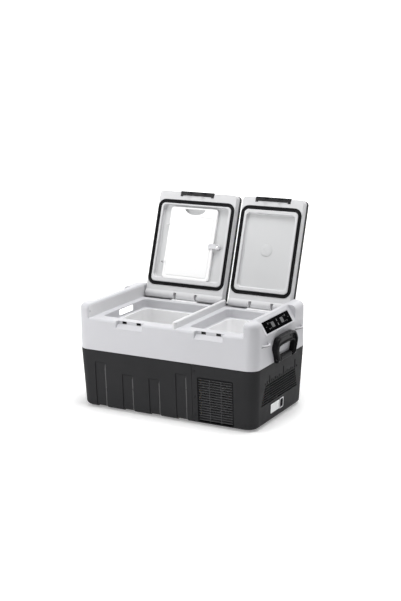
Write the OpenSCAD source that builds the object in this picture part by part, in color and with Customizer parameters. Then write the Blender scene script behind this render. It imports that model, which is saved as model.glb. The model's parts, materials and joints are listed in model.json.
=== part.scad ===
// Two-zone compressor cooler fridge with two rear-hinged lids, shown open.
// Frame: origin at the centre of the base on the ground, +X to the control
// panel end, -Y to the front, +Z up. Millimetres.

/* [Cabinet] */
// Length of the cabinet between its end walls
body_l = 640; // [620:1:660]
// Depth of the cabinet from front to back
body_w = 384; // [380:1:390]
// Height of the join between the dark lower shell and the light upper shell
split_z = 197; // [190:1:200]
// Height of the rim that the lid seals close on
rim_z = 301; // [300:0.5:301]
// Height of the end consoles and corner posts
top_z = 345; // [345:1:348]
// Radius of the vertical corners
corner_r = 36; // [30:1:40]
// Inward lean of the lower shell at its foot, each side
taper = 9.5; // [6:0.5:11]
// Radius of the rounded top edges of the posts
post_r = 16; // [10:1:18]
// Wall thickness of the shells
wall = 4; // [3.5:0.5:4.5]

/* [Lids] */
// Opening angle of both lids in the modelled pose
lid_open = 108.5; // [90:0.5:108.5]
// Height of the closed lids' inner face
lid_plane = 304; // [304:0.5:305]
// Thickness of a lid from inner face to outer cover
lid_t = 41; // [38:1:41]
// Thickness of the light part of a lid
lid_liner_t = 28; // [26:1:30]
// Corner radius of the lids
lid_r = 14; // [8:1:20]
// Width of the sealing rings
seal_w = 10; // [8:1:11]

/* [Compartments] */
// Floor height of the deep compartment
deep_floor = 42; // [36:1:60]
// Floor height of the shallow compartment over the machine bay
shallow_floor = 186; // [180:1:200]
// Height of the basket ledge
ledge_z = 270; // [262:1:276]

/* [Carrying handles] */
// Half width of a handle at its widest
handle_hw = 79; // [74:1:82]
// Reach of a handle from the end wall
handle_p = 21; // [18:1:24]
// Diameter of the handle pivot pins
handle_pin_d = 6; // [5:0.5:6]

/* [Hidden] */
hl = body_l/2;
hw = body_w/2;
hy = 168;                     // lid hinge axis
hz = lid_plane + 10.6;
pin_r = 2.5;
clr = 0.05;                   // radial running clearance
inner_x = 275;                // inside faces of the end consoles
lidL = [-272, 28];            // x span of the left lid
lidR = [46, 273];             // x span of the right lid
lid_y0 = -189;                // front edge of the closed lids
lid_y1 = 180;                 // rear edge of the closed lids
cover_z = lid_plane + lid_liner_t;
openL = [-252, 10];           // compartment mouths at the rim
openR = [66, 252];
open_y = [-144, 124];
pan_a = 58;                   // lean of the console face
seam_x = 99;                  // seam between lower shell and machine cover
lean = atan(taper/split_z);
latchL = -124;                // latch centres
latchR = 160;
pocketL = [-173, -76];
pocketR = [109, 208];
hinge_w = 97;
barrel_r = 15.5;
hingeL = -113;                // hinge centres
hingeR = 170;
hpx = 330; hpz = 206;         // handle pivot
foot_at = [[-250,-130],[250,-130],[-250,130],[250,130],[0,0]];

// ---- helpers ----
module slab(x0, x1, y0, y1, z0, z1) translate([x0, y0, z0]) cube([x1-x0, y1-y0, z1-z0]);
module rr2(x0, x1, y0, y1, r, fn=64) {
  translate([x0+r, y0]) square([x1-x0-2*r, y1-y0]);
  translate([x0, y0+r]) square([x1-x0, y1-y0-2*r]);
  for (x = [x0+r, x1-r], y = [y0+r, y1-r]) translate([x, y]) circle(r=r, $fn=fn);
}
module rbox(x0, x1, y0, y1, z0, z1, r) translate([0,0,z0]) linear_extrude(z1-z0) rr2(x0, x1, y0, y1, r);
module xcyl(r, x0, x1, y, z) translate([x0, y, z]) rotate([0,90,0]) cylinder(r=r, h=x1-x0, $fn=48);
module ycyl(r, y0, y1, x, z) translate([x, y0, z]) rotate([-90,0,0]) cylinder(r=r, h=y1-y0, $fn=48);
module opened() translate([0,hy,hz]) rotate([-lid_open,0,0]) translate([0,-hy,-hz]) children();
module sides() { children(); mirror([1,0,0]) children(); }
// tapered block with rounded corners, s = inset from the outer face
module tapered(s, z0, z1) hull() {
  t0 = s + taper*(1 - z0/split_z); t1 = s + taper*(1 - z1/split_z); r = corner_r - s;
  for (q = [[t0, z0], [t1, z1-0.01]]) for (x=[-1,1], y=[-1,1])
    translate([x*(hl-q[0]-r), y*(hw-q[0]-r), q[1]]) cylinder(r=r, h=0.01, $fn=48);
}
// on the leaning end wall of the lower shell: local x outwards from its face
module on_wall() translate([hl, 0, split_z]) rotate([0, lean, 0]) translate([0, 0, -split_z]) children();
// on the leaning console face: local x down the slope, local z outwards
module on_console(y=0) translate([310, y, 316]) rotate([0, pan_a, 0]) children();

// ---- lower shell, machine cover and base ----
module lower_skin() difference() {
  tapered(0, 5, split_z);
  tapered(wall, 4, split_z+1);
}
module dent(x0, x1, zt) translate([0,-hw,split_z]) rotate([lean,0,0]) slab(x0, x1, -5, 2.2, -split_z-10, zt-split_z);
module lower_shell() color([0.26,0.26,0.27]) difference() {
  intersection() { lower_skin(); slab(-400, seam_x, -300, 300, 0, 250); }
  dent(-256, -217, 159.5);
  dent(-155, -116, 129);
  dent(-57, -18, 128.5);
  dent(41, 79, 159);
}
module side_slot(y0, y1, z0, z1) slab(300, 330, y0, y1, z0, z1);
module machine_cover() color([0.25,0.25,0.26]) difference() {
  intersection() { lower_skin(); slab(seam_x+0.4, 400, -300, 300, 0, 250); }
  // opening for the front grille
  slab(118, 243, -200, -170, 9, 157);
  // exhaust slots in the end wall
  for (i = [0:7]) side_slot(-138+i*3, 128-i*3, 75+i*8.3-2.6, 75+i*8.3+2.6);
  for (i = [0:16]) side_slot(-120+i*14.6, -113+i*14.6, 138.4, 145 + 4*(i%2) + (i==2||i==9||i==15 ? 18 : 0));
  // power inlet
  on_wall() slab(-12, 10, -1.5, 24, 31.5, 61.5);
  // fixing screws
  for (z = [28, 91, 175]) ycyl(2.2, -200, -170, 109, z);
}
module front_grille() color([0.2,0.2,0.21]) translate([0,-hw,split_z]) rotate([lean,0,0]) translate([0,0,-split_z]) {
  difference() {
    slab(118.2, 242.8, 0.4, 6, 9.5, 156.5);
    slab(122, 239, -1, 7, 13, 153);
  }
  for (i = [0:16]) slab(121, 240, 1, 5.4, 17.2+i*8.2, 20.4+i*8.2);
  for (x = [160, 200]) slab(x-1.6, x+1.6, 0.8, 6, 12, 154);
}
module base_plate() color([0.3,0.3,0.31]) difference() {
  rbox(-hl+15.5, hl-15.5, -hw+15.5, hw-15.5, 6, 9, 30);
  for (q=foot_at) translate([q[0],q[1],0]) cylinder(r=2.6, h=20, $fn=32);
  for (y=[-40,40], x=[150,250]) translate([x,y+30,0]) cylinder(r=3.1, h=20, $fn=32);
}
module rubber_feet() color([0.1,0.1,0.1]) for (q=foot_at) translate([q[0],q[1],0]) {
  cylinder(r=15, h=6, $fn=64);
  cylinder(r=2.6, h=9.5, $fn=32);
  translate([0,0,9]) cylinder(r=5, h=1.8, $fn=32);
}

// ---- upper shell: walls, deck, divider, posts and leaning consoles ----
module post_profile() intersection() {
  linear_extrude(400) rr2(-hl, hl, -hw, hw, corner_r);
  translate([0,300,0]) rotate([90,0,0]) linear_extrude(600) { // rounded in x
    translate([-hl, 0]) square([2*hl, top_z-post_r]);
    translate([-hl+post_r, 0]) square([2*(hl-post_r), top_z]);
    for (s=[-1,1]) translate([s*(hl-post_r), top_z-post_r]) circle(r=post_r, $fn=64);
  }
  translate([-400,0,0]) rotate([90,0,90]) linear_extrude(800) { // rounded in y
    translate([-hw, 0]) square([2*hw, top_z-post_r]);
    translate([-hw+post_r, 0]) square([2*(hw-post_r), top_z]);
    for (s=[-1,1]) translate([s*(hw-post_r), top_z-post_r]) circle(r=post_r, $fn=64);
  }
}
module console_cut(d, y0, y1) translate([310, 0, 316]) rotate([0, pan_a, 0]) translate([-80, y0, d]) cube([160, y1-y0, 60]);
module pocket_cut(p) translate([p[0],0,0]) rotate([90,0,90]) linear_extrude(p[1]-p[0])
  polygon([[-200,277.2],[-192,278.2],[-174,290],[-174,310],[-200,310]]);
module upper_shell() color([0.78,0.78,0.80]) difference() {
  intersection() {
    post_profile();
    slab(-400, 400, -300, 300, split_z, 400);
  }
  // inner space below the deck
  rbox(-hl+wall, hl-wall, -hw+wall, hw-wall, split_z-1, rim_z-25, corner_r-wall);
  slab(-inner_x-4, inner_x+4, -hw+24, 154, rim_z-25.5, rim_z-4);
  // space above the deck between the end consoles
  difference() {
    slab(-inner_x, inner_x, -300, 157, rim_z, 400);
    difference() {                                        // divider rib stays
      rbox(31, 43, -190, 156.9, rim_z-1, rim_z+22, 5.9);
      for (x=[29.5, 41.5]) slab(x, x+3, -186, -179, 312, 320);
    }
  }
  slab(-inner_x, inner_x, 157, 188.5, rim_z-15, 400);
  slab(-inner_x, inner_x, 157, 300, rim_z-8, 400);
  // hollow consoles
  for (s=[-1,1]) mirror([s<0?1:0,0,0]) difference() {
    slab(inner_x+4, hl-wall, -hw+34, hw-34, rim_z-20, top_z-4);
    console_cut(-4, -400, 400);
  }
  // leaning faces
  console_cut(0, -145, 98);
  mirror([1,0,0]) console_cut(0, -145, 98);
  // compartment mouths
  rbox(openL[0]-2.5, openL[1]+2.5, open_y[0]-2.5, open_y[1]+2.5, 240, 320, 20);
  rbox(openR[0]-2.5, openR[1]+2.5, open_y[0]-2.5, open_y[1]+2.5, 240, 320, 20);
  // latch pockets with their keeper holes
  pocket_cut(pocketL); pocket_cut(pocketR);
  for (c=[latchL, latchR], s=[-1,1]) slab(c+s*26-8, c+s*26+8, -175, -164, 291.5, 299.5);
  // locating notches on the end posts and the divider
  for (x=[-inner_x-1.5, inner_x-1.5]) slab(x, x+3, -186, -179, 317, 325);
  // cable hole of the control panel and the lamp recess
  translate([310,-20,316]) rotate([0,pan_a,0]) translate([0,0,-8]) cylinder(r=8, h=10, $fn=48);
  // wells of the hinge bases
  for (c=[hingeL, hingeR], s=[-1,1]) translate([c+s*20, hy+14, 280]) cylinder(r=1.7, h=10, $fn=32);
}

// ---- compartments ----
module tub(o, fl) difference() {
  union() {
    rbox(o[0]-2.5, o[1]+2.5, open_y[0]-2.5, open_y[1]+2.5, ledge_z-2.5, rim_z-0.5, 20);
    rbox(o[0]+5.5, o[1]-5.5, open_y[0]+5.5, open_y[1]-5.5, fl-2.5, ledge_z, 30.5);
  }
  rbox(o[0], o[1], open_y[0], open_y[1], ledge_z, rim_z+5, 17.5);
  rbox(o[0]+8, o[1]-8, open_y[0]+8, open_y[1]-8, fl, ledge_z+5, 28);
}
module liner_deep() color([0.93,0.93,0.94]) difference() {
  tub(openL, deep_floor);
  slab(openL[0]-5, openL[0]+5, -41.5, 43.5, 278.5, 297.5);
}
module liner_shallow() color([0.93,0.93,0.94]) tub(openR, shallow_floor);
module evap(o, z0, z1) difference() {
  rbox(o[0]+3.6, o[1]-3.6, open_y[0]+3.6, open_y[1]-3.6, z0, z1, 32.4);
  rbox(o[0]+5.5, o[1]-5.5, open_y[0]+5.5, open_y[1]-5.5, z0-1, z1+1, 30.5);
}
module evaporator_deep() color([0.8,0.81,0.82]) evap(openL, 60, 235);
module evaporator_shallow() color([0.8,0.81,0.82]) evap(openR, 200, 258);
module insulation_foam() color([0.9,0.86,0.6]) difference() {
  union() {
    rbox(-hl+15, seam_x-4, -hw+15, hw-15, 10, 265, 33);
    rbox(seam_x-6, hl-9, -hw+9, hw-9, 166, 265, 26);
  }
  rbox(openL[0]+3.5, openL[1]-3.5, open_y[0]+3.5, open_y[1]-3.5, deep_floor-2.6, 400, 32.5);
  rbox(openR[0]+3.5, openR[1]-3.5, open_y[0]+3.5, open_y[1]-3.5, shallow_floor-2.6, 400, 32.5);
  for (q=foot_at) translate([q[0],q[1],0]) cylinder(r=5.5, h=11.5, $fn=32);
  // channel for the refrigerant lines
  slab(90, 104, 140, 156, 100, 280);
  slab(92, 104, 66, 156, 107, 117);
}

// ---- machine bay ----
module compressor() color([0.08,0.08,0.09]) translate([200, 30, 0]) {
  rotate_extrude($fn=96) polygon([[0,20],[40,20],[52,27],[56,36],[56,96],[52,110],[40,120],[22,126],[0,128]]);
  for (x=[-50,50], y=[-40,40]) translate([x,y,16]) difference() {
    union() { cylinder(r=11, h=4, $fn=48); translate([x<0?0:-20,-8,0]) cube([20,16,4]); }
    translate([0,0,-1]) cylinder(r=5.1, h=6, $fn=48);
  }
  translate([-45,-12,16]) cube([90,24,6]);
  translate([-12,-45,16]) cube([24,90,6]);
  translate([-34,-48,16]) cube([68,96,4.2]);
}
module compressor_grommets() color([0.12,0.12,0.12]) for (x=[-50,50], y=[-40,40]) translate([200+x,30+y,0]) {
  translate([0,0,9]) cylinder(r=11, h=7, $fn=48);
  translate([0,0,9]) cylinder(r=5, h=12, $fn=48);
  translate([0,0,20.3]) cylinder(r=8, h=3, $fn=48);
}
module condenser_fins() color([0.75,0.76,0.78]) difference() {
  for (i=[0:23]) slab(124+i*5, 124.5+i*5, -136, -100, 18, 148);
  for (k=[0:4], j=[0,1]) xcyl(3.5, 100, 260, -127+j*18, 32+k*25);
}
module condenser_tubes() color([0.72,0.45,0.25]) {
  for (k=[0:4], j=[0,1]) xcyl(3.5, 120, 244, -127+j*18, 32+k*25);
  for (k=[0:4]) translate([244,-118,32+k*25]) rotate_extrude(angle=180, start=-90, $fn=48) translate([9,0]) circle(r=3.5, $fn=24);
  for (k=[0:3]) translate([120,-127,44.5+k*25]) rotate([90,0,180]) rotate_extrude(angle=180, start=-90, $fn=48) translate([12.5,0]) circle(r=3.4, $fn=24);
}
module refrigerant_pipes() color([0.75,0.48,0.27]) {
  // suction riser and discharge run
  translate([97,148,110]) cylinder(r=3, h=165, $fn=32);
  ycyl(3, 72, 148, 97, 112);
  translate([97,148,112]) sphere(r=3, $fn=32);
  xcyl(3, 97, 165, 72, 112);
  translate([97,72,112]) sphere(r=3, $fn=32);
  ycyl(3, -96, -30, 230, 60);
}
module filter_drier() color([0.78,0.5,0.28]) translate([276,-60,40]) rotate([0,0,0]) {
  cylinder(r=9, h=70, $fn=64);
  translate([0,0,70]) cylinder(r=4, h=12, $fn=48);
  translate([0,0,-12]) cylinder(r=3, h=12, $fn=48);
}
module fan_housing() color([0.1,0.1,0.11]) difference() {
  slab(122, 240, -166, -141, 24, 142);
  ycyl(55, -170, -140, 181, 83);
  for (x=[129,233], z=[31,135]) ycyl(2.2, -170, -140, x, z);
}
module fan_motor() color([0.13,0.13,0.14]) {
  ycyl(19, -145, -141, 181, 83);
  for (a=[45:90:315]) translate([181,-144.2,83]) rotate([0,a,0]) slab(15, 54.8, 0, 3, -3, 3);
  ycyl(2, -161.4, -144.5, 181, 83);
}
module fan_rotor() color([0.08,0.08,0.08]) difference() {
  union() {
    ycyl(18, -164, -146, 181, 83);
    for (i=[0:6]) translate([181,-155,83]) rotate([0,i*360/7,0]) rotate([32,0,0]) slab(16, 52, -1, 1, -9, 9);
  }
  ycyl(2+clr, -161.8, -140, 181, 83);
}
module power_board() color([0.1,0.35,0.2]) {
  slab(112, 113.6, 92, 172, 22, 142);
  slab(113.6, 138, 104, 124, 96, 122);
  slab(113.6, 128, 132, 160, 80, 120);
  for (i=[0:2]) translate([113.6, 108+i*18, 50]) rotate([0,90,0]) cylinder(r=7, h=24, $fn=48);
}
module power_inlet() color([0.75,0.75,0.77]) on_wall() difference() {
  union() {
    slab(-24, 0.2, -1, 23.5, 32, 61);
    slab(0.1, 1.6, -3.5, 26, 29.5, 63.5);
  }
  slab(-16, 10, 3, 19.5, 36, 57);
}
module inlet_pins() color([0.8,0.7,0.4]) on_wall() for (z=[42,51]) xcyl(1.6, -16, -7, 11.2, z);
module inlet_plate() color([0.93,0.93,0.93]) on_wall() slab(0, 1, -67, -6, 31.5, 61.7);

// ---- controls and lamp ----
module panel_bezel() color([0.86,0.86,0.88]) on_console(-20) difference() {
  translate([0,0,0]) linear_extrude(1.6) rr2(-24, 23.5, -106, 106, 5);
  translate([0,0,0.6]) linear_extrude(3) rr2(-19.3, 19.3, -94.3, 94.3, 1.5);
  translate([0,0,-1]) cylinder(r=7.8, h=3, $fn=48);
}
module panel_glass() color([0.02,0.02,0.02]) on_console(-20) difference() {
  translate([0,0,0.6]) linear_extrude(1.6) rr2(-19, 19, -94, 94, 1.2);
  for (s=[-1,1]) translate([-9, s*33-10, 1.6]) cube([18,20,3]);
}
module panel_displays() color([0.55,0.56,0.57]) on_console(-20)
  for (s=[-1,1]) translate([-9, s*33-10, 1.6]) cube([18,20,0.5]);
module display_board() color([0.12,0.38,0.22]) on_console(-20) translate([-14,-70,-7.2]) difference() {
  cube([26,140,1.6]);
  translate([14,70,-1]) cylinder(r=6, h=4, $fn=32);
}
module lamp_housing() color([0.9,0.9,0.92]) difference() {
  slab(openL[0]-9, openL[0]-2.6, -41, 43, 279, 297);
  slab(openL[0]-6.5, openL[0], -38, 40, 281, 295);
}
module lamp_lens() color([0.98,0.98,0.98]) union() {
  slab(openL[0]-6.4, openL[0]-1.5, -37.8, 39.8, 281.2, 294.8);
  slab(openL[0]-2.4, openL[0]+1.2, -41, 43, 279, 297);
}

// ---- outside fittings ----
module loop(y) translate([hl-15.3, y, 266]) linear_extrude(5) difference() {
  intersection() { circle(r=29.3, $fn=128); translate([15.3,-40]) square([40,80]); }
  intersection() { circle(r=23.3, $fn=128); translate([15.2,-40]) square([40,80]); }
}
module tie_down_loops() color([0.8,0.8,0.82]) sides() { loop(-124); loop(125); }
module latch_keepers() color([0.06,0.06,0.06]) for (c=[latchL, latchR], s=[-1,1]) difference() {
  slab(c+s*26-8, c+s*26+8, -173.8, -164, 291.5, 299.5);
  slab(c+s*26-6.5, c+s*26+6.5, -175, -165.5, 293, 298);
}
module hinge_base(c) color([0.93,0.93,0.93]) difference() {
  union() {
    // plate on the deck edge, leg and foot in the trough
    slab(c-48, c+48, 139.5, 156, rim_z, rim_z+2.2);
    slab(c-48, c+48, 155, 158, rim_z, rim_z+0.8);
    slab(c-48, c+48, 157, 158, rim_z-15, rim_z+0.8);
    slab(c-48, c+48, 157, hy+19, rim_z-15, rim_z-12);
    // two arms that carry the pin
    for (s=[-1,1]) {
      slab(c+s*40-4.5, c+s*40+4.5, hy-5, hy+5, rim_z-15, hz);
      xcyl(6, c+s*40-4.5, c+s*40+4.5, hy, hz);
    }
  }
  xcyl(pin_r, c-60, c+60, hy, hz);
  for (s=[-1,1]) translate([c+s*20, hy+14, 280]) cylinder(r=1.7, h=20, $fn=32);
}
module hinge_base_left() hinge_base(hingeL);
module hinge_base_right() hinge_base(hingeR);
module hinge_pin(c) color([0.7,0.7,0.72]) xcyl(pin_r, c-hinge_w/2-16, c+hinge_w/2+16, hy, hz);
module hinge_pin_left() hinge_pin(hingeL);
module hinge_pin_right() hinge_pin(hingeR);

module handle_base_one() color([0.12,0.12,0.13]) difference() {
  union() {
    slab(hl, 336, -39, 39, split_z+0.3, 213);
    slab(hl, 324, -46, -39, 200, 213);
    slab(hl, 324, 39, 46, 200, 213);
  }
  for (s=[-1,1]) ycyl(handle_pin_d/2, s<0?-50:20, s<0?-20:50, hpx, hpz);
}
module handle_base_right() handle_base_one();
module handle_base_left() mirror([1,0,0]) handle_base_one();
module handle_pins() color([0.7,0.7,0.72]) sides() for (s=[-1,1]) ycyl(handle_pin_d/2, s<0?-60:20, s<0?-20:60, hpx, hpz);
// outline of a handle in the y-z plane
module handle_outer() polygon([[-50,279],[50,279],[62,274],[70,266],[handle_hw,251],[handle_hw,240],[72,224],[64,206],[64,196],
  [-64,196],[-64,206],[-72,224],[-handle_hw,240],[-handle_hw,251],[-70,266],[-62,274]]);
module handle_window() polygon([[-50,249],[50,249],[57,243],[57,236],[50,216],[48,190],[-48,190],[-50,216],[-57,236],[-57,243]]);
module handle_one() color([0.1,0.1,0.11]) difference() {
  translate([hl+0.6,0,0]) rotate([90,0,90]) linear_extrude(handle_p-0.6) difference() { handle_outer(); handle_window(); }
  // recessed face of the grip
  slab(hl+14, hl+40, -46, 46, 240, 274);
  // rounded ends around the pivot
  difference() {
    slab(300, 360, -90, 90, 190, hpz);
    ycyl(9.4, -90, 90, hpx, hpz);
  }
  for (s=[-1,1]) ycyl(handle_pin_d/2+clr, s<0?-62:40, s<0?-40:62, hpx, hpz);
  // screw wells in the grip
  for (y=[-32,32]) translate([hl+10,y,266]) rotate([0,90,0]) cylinder(r=2.4, h=20, $fn=32);
  // finger hollow behind the grip
  slab(hl-1, hl+7, -44, 44, 240, 270);
}
module handle_right() handle_one();
module handle_left() mirror([1,0,0]) handle_one();

module cover_screws() color([0.25,0.25,0.26]) for (z=[28,91,175])
  translate([109, -hw + taper*(1-z/split_z), z]) rotate([lean,0,0]) {
    rotate([90,0,0]) cylinder(r=3.4, h=1, $fn=32);
    rotate([-90,0,0]) cylinder(r=1.5, h=8, $fn=32);
  }

// ---- lids, modelled closed and then swung open ----
module lid_liner_closed(L, lc, hc, rec) difference() {
  union() {
    rbox(L[0], L[1], lid_y0, lid_y1, lid_plane, cover_z, lid_r);
    xcyl(barrel_r, L[0]+2, L[1]-2, hy, hz);
  }
  // foam space
  difference() {
    rbox(L[0]+3, L[1]-3, lid_y0+13, lid_y1-28, lid_plane+4, cover_z+1, lid_r);
    rbox(rec[0]-3, rec[1]+3, rec[2]-3, rec[3]+3, lid_plane, rec[4]+3, 17);
  }
  // recess in the inner face
  rbox(rec[0], rec[1], rec[2], rec[3], lid_plane-1, rec[4], 14);
  // seal groove
  difference() {
    rbox(L[0]+6, L[1]-6, -156, 137, lid_plane-1, lid_plane+3, 25);
    rbox(L[0]+6+seal_w, L[1]-6-seal_w, -156+seal_w, 137-seal_w, lid_plane-2, lid_plane+4, 15);
  }
  // hinge notch, bores and rounded rear edge
  for (s=[-1,1]) slab(hc+s*40-5, hc+s*40+5, hy-7, 200, lid_plane-9, hz+11);
  xcyl(pin_r+clr, hc-hinge_w/2-16.5, hc+hinge_w/2+16.5, hy, hz);
  difference() {
    slab(L[0]-1, L[1]+1, hy, 200, lid_plane-1, hz);
    xcyl(barrel_r, L[0]-2, L[1]+2, hy, hz);
  }
  // latch notch and pin bore
  slab(lc-64.5, lc+64.5, lid_y0-1, -179.5, lid_plane-1, 327);
  xcyl(1.5, lc-67.5, lc+67.5, -185, 322);
}
recL = [-250, 4, -142, 114, lid_plane+12];
recR = [70, 249, -135, 117, lid_plane+8];
module lid_left_liner() color([0.86,0.86,0.87]) opened() union() {
  difference() {
    lid_liner_closed(lidL, latchL, hingeL, recL);
    translate([-20,-8,lid_plane]) cylinder(r=2, h=22, $fn=32);
  }
  // board tabs and clip boss
  for (y=[-73, 59]) slab(-251, -214, y-4, y+4, lid_plane+0.4, lid_plane+1.8);
  difference() {
    translate([-20,-8,lid_plane+2]) cylinder(r=8, h=12, $fn=48);
    translate([-20,-8,lid_plane]) cylinder(r=2, h=22, $fn=32);
  }
}
module lid_right_liner() color([0.86,0.86,0.87]) opened() lid_liner_closed(lidR, latchR, hingeR, recR);
module lid_foam_closed(L, rec) difference() {
  rbox(L[0]+3.2, L[1]-3.2, lid_y0+13.2, lid_y1-28.2, lid_plane+4.2, lid_plane+lid_t-3.2, lid_r);
  rbox(rec[0]-3.2, rec[1]+3.2, rec[2]-3.2, rec[3]+3.2, lid_plane, rec[4]+3.2, 17);
}
module lid_left_foam() color([0.9,0.86,0.6]) opened() lid_foam_closed(lidL, recL);
module lid_right_foam() color([0.9,0.86,0.6]) opened() lid_foam_closed(lidR, recR);
module lid_cover_closed(L) difference() {
  lid_cover_skin(L);
  rbox(L[0]+3, L[1]-3, lid_y0+3, lid_y1-3, cover_z-1, lid_plane+lid_t-3, lid_r-3);
}
module lid_cover_skin(L) intersection() {
  rbox(L[0], L[1], lid_y0, lid_y1, cover_z, lid_plane+lid_t, lid_r);
  translate([0,200,0]) rotate([90,0,0]) linear_extrude(400) {
    translate([L[0], cover_z]) square([L[1]-L[0], lid_t-lid_liner_t-6]);
    translate([L[0]+6, cover_z]) square([L[1]-L[0]-12, lid_t-lid_liner_t]);
    for (x=[L[0]+6, L[1]-6]) translate([x, lid_plane+lid_t-6]) circle(r=6, $fn=48);
  }
}
module lid_left_cover() color([0.07,0.07,0.08]) opened() lid_cover_closed(lidL);
module lid_right_cover() color([0.07,0.07,0.08]) opened() lid_cover_closed(lidR);
module lid_seal_closed(L) difference() {
  rbox(L[0]+6.1, L[1]-6.1, -155.9, 136.9, rim_z+0.4, lid_plane+2.9, 24.9);
  rbox(L[0]+5.9+seal_w, L[1]-5.9-seal_w, -156.1+seal_w, 137.1-seal_w, rim_z-1, lid_plane+4, 15.1);
}
module lid_left_seal() color([0.05,0.05,0.05]) opened() lid_seal_closed(lidL);
module lid_right_seal() color([0.05,0.05,0.05]) opened() lid_seal_closed(lidR);
module cutting_board() color([0.95,0.95,0.95]) opened() difference() {
  rbox(-218, -38, -135, 113, lid_plane+2, lid_plane+11.9, 12);
  // juice groove
  difference() {
    rbox(-211, -45, -112, 106, lid_plane, lid_plane+4, 9);
    rbox(-207, -49, -108, 102, lid_plane-1, lid_plane+5, 6);
  }
  // finger hole
  translate([0,0,lid_plane]) linear_extrude(20) intersection() {
    translate([-125,-92]) circle(r=42, $fn=96);
    slab2(-180, -70, -130, -110);
  }
}
module slab2(x0, x1, y0, y1) translate([x0,y0]) square([x1-x0, y1-y0]);
module board_clip() color([0.8,0.8,0.82]) opened() difference() {
  translate([0,0,lid_plane-1.6]) linear_extrude(3.2) {
    translate([-20,-8]) circle(r=9, $fn=64);
    slab2(-46, -20, -17, 1);
    translate([-46,-8]) circle(r=9, $fn=64);
  }
  translate([-20,-8,lid_plane-3]) cylinder(r=3+clr, h=10, $fn=48);
}
module clip_screw() color([0.7,0.7,0.72]) opened() translate([-20,-8,0]) {
  translate([0,0,lid_plane-2.2]) cylinder(r=5.2, h=0.5, $fn=48);
  translate([0,0,lid_plane-2]) cylinder(r=3, h=4, $fn=48);
  translate([0,0,lid_plane+1.9]) cylinder(r=2, h=11, $fn=32);
}
module port_cap() color([0.84,0.84,0.85]) opened() translate([158,-13,0]) {
  translate([0,0,lid_plane+5.4]) cylinder(r=20, h=2.6, $fn=96);
  translate([0,0,lid_plane+4.6]) cylinder(r=16, h=1, $fn=96);
}
module latch_closed(c) difference() {
  union() {
    slab(c-63.8, c+63.8, -189, -181, rim_z+1.6, 322);
    xcyl(4, c-63.8, c+63.8, -185, 322);
    for (s=[-1,1]) slab(c+s*26-5.5, c+s*26+5.5, -187, -183, 293, rim_z+3);
    for (s=[-1,1]) slab(c+s*58.8-5, c+s*58.8+5, -182, -171, rim_z+1.6, lid_plane-0.2);
    slab(c-54, c+54, -182, -174.5, rim_z+1.6, lid_plane-0.2);
  }
  xcyl(1.5+clr, c-70, c+70, -185, 322);
  slab(c-48, c+48, -190, -187.4, 306, 315);
}
module latch_left() color([0.05,0.05,0.05]) opened() latch_closed(latchL);
module latch_right() color([0.05,0.05,0.05]) opened() latch_closed(latchR);
module latch_pin_left() color([0.7,0.7,0.72]) opened() xcyl(1.5, latchL-67, latchL+67, -185, 322);
module latch_pin_right() color([0.7,0.7,0.72]) opened() xcyl(1.5, latchR-67, latchR+67, -185, 322);

lower_shell();
machine_cover();
front_grille();
base_plate();
rubber_feet();
upper_shell();
liner_deep();
liner_shallow();
insulation_foam();
evaporator_deep();
evaporator_shallow();
compressor();
compressor_grommets();
condenser_fins();
condenser_tubes();
refrigerant_pipes();
filter_drier();
fan_housing();
fan_motor();
fan_rotor();
power_board();
power_inlet();
inlet_pins();
inlet_plate();
panel_bezel();
panel_glass();
panel_displays();
display_board();
lamp_housing();
lamp_lens();
tie_down_loops();
latch_keepers();
hinge_base_left();
hinge_base_right();
hinge_pin_left();
hinge_pin_right();
handle_base_left();
handle_base_right();
handle_pins();
cover_screws();
lid_left_liner();
lid_left_foam();
lid_left_cover();
lid_left_seal();
cutting_board();
board_clip();
clip_screw();
latch_left();
latch_pin_left();
lid_right_liner();
lid_right_foam();
lid_right_cover();
lid_right_seal();
port_cap();
latch_right();
latch_pin_right();
handle_left();
handle_right();
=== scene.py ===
import json
import math

import bmesh
import bpy
from mathutils import Matrix, Vector


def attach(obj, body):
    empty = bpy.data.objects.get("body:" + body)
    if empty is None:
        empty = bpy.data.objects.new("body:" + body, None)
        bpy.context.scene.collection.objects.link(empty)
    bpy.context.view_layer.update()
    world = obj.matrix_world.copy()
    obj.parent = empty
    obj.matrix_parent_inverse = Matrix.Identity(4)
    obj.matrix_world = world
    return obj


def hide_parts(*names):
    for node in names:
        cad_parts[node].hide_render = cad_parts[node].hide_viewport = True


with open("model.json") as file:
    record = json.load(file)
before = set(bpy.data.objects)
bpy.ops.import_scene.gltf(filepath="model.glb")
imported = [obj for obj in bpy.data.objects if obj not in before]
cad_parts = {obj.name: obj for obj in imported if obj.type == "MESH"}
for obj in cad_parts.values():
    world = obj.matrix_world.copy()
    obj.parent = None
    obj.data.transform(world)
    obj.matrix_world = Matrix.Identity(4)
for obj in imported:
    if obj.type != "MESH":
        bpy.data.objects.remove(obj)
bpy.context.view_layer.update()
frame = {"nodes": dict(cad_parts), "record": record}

SCN = bpy.context.scene
NODE = frame["nodes"]

# ------------------------------------------------------------------ camera
cam = bpy.data.objects.new("camera", bpy.data.cameras.new("camera"))
SCN.collection.objects.link(cam)
SCN.camera = cam
cam.data.lens = 74.5
cam.data.sensor_width = 36.0
cam.data.sensor_fit = "AUTO"
cam.data.clip_end = 60
cam.data.dof.use_dof = False
cam.location = (1.878, -3.4268, 1.2635)
look = Vector((0.030, 0.0, 0.3508)) - Vector(cam.location)
q = look.to_track_quat("-Z", "Y").to_matrix().to_4x4()
cam.rotation_euler = (q @ Matrix.Rotation(math.radians(-0.32), 4, "Z")).to_euler()

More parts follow.
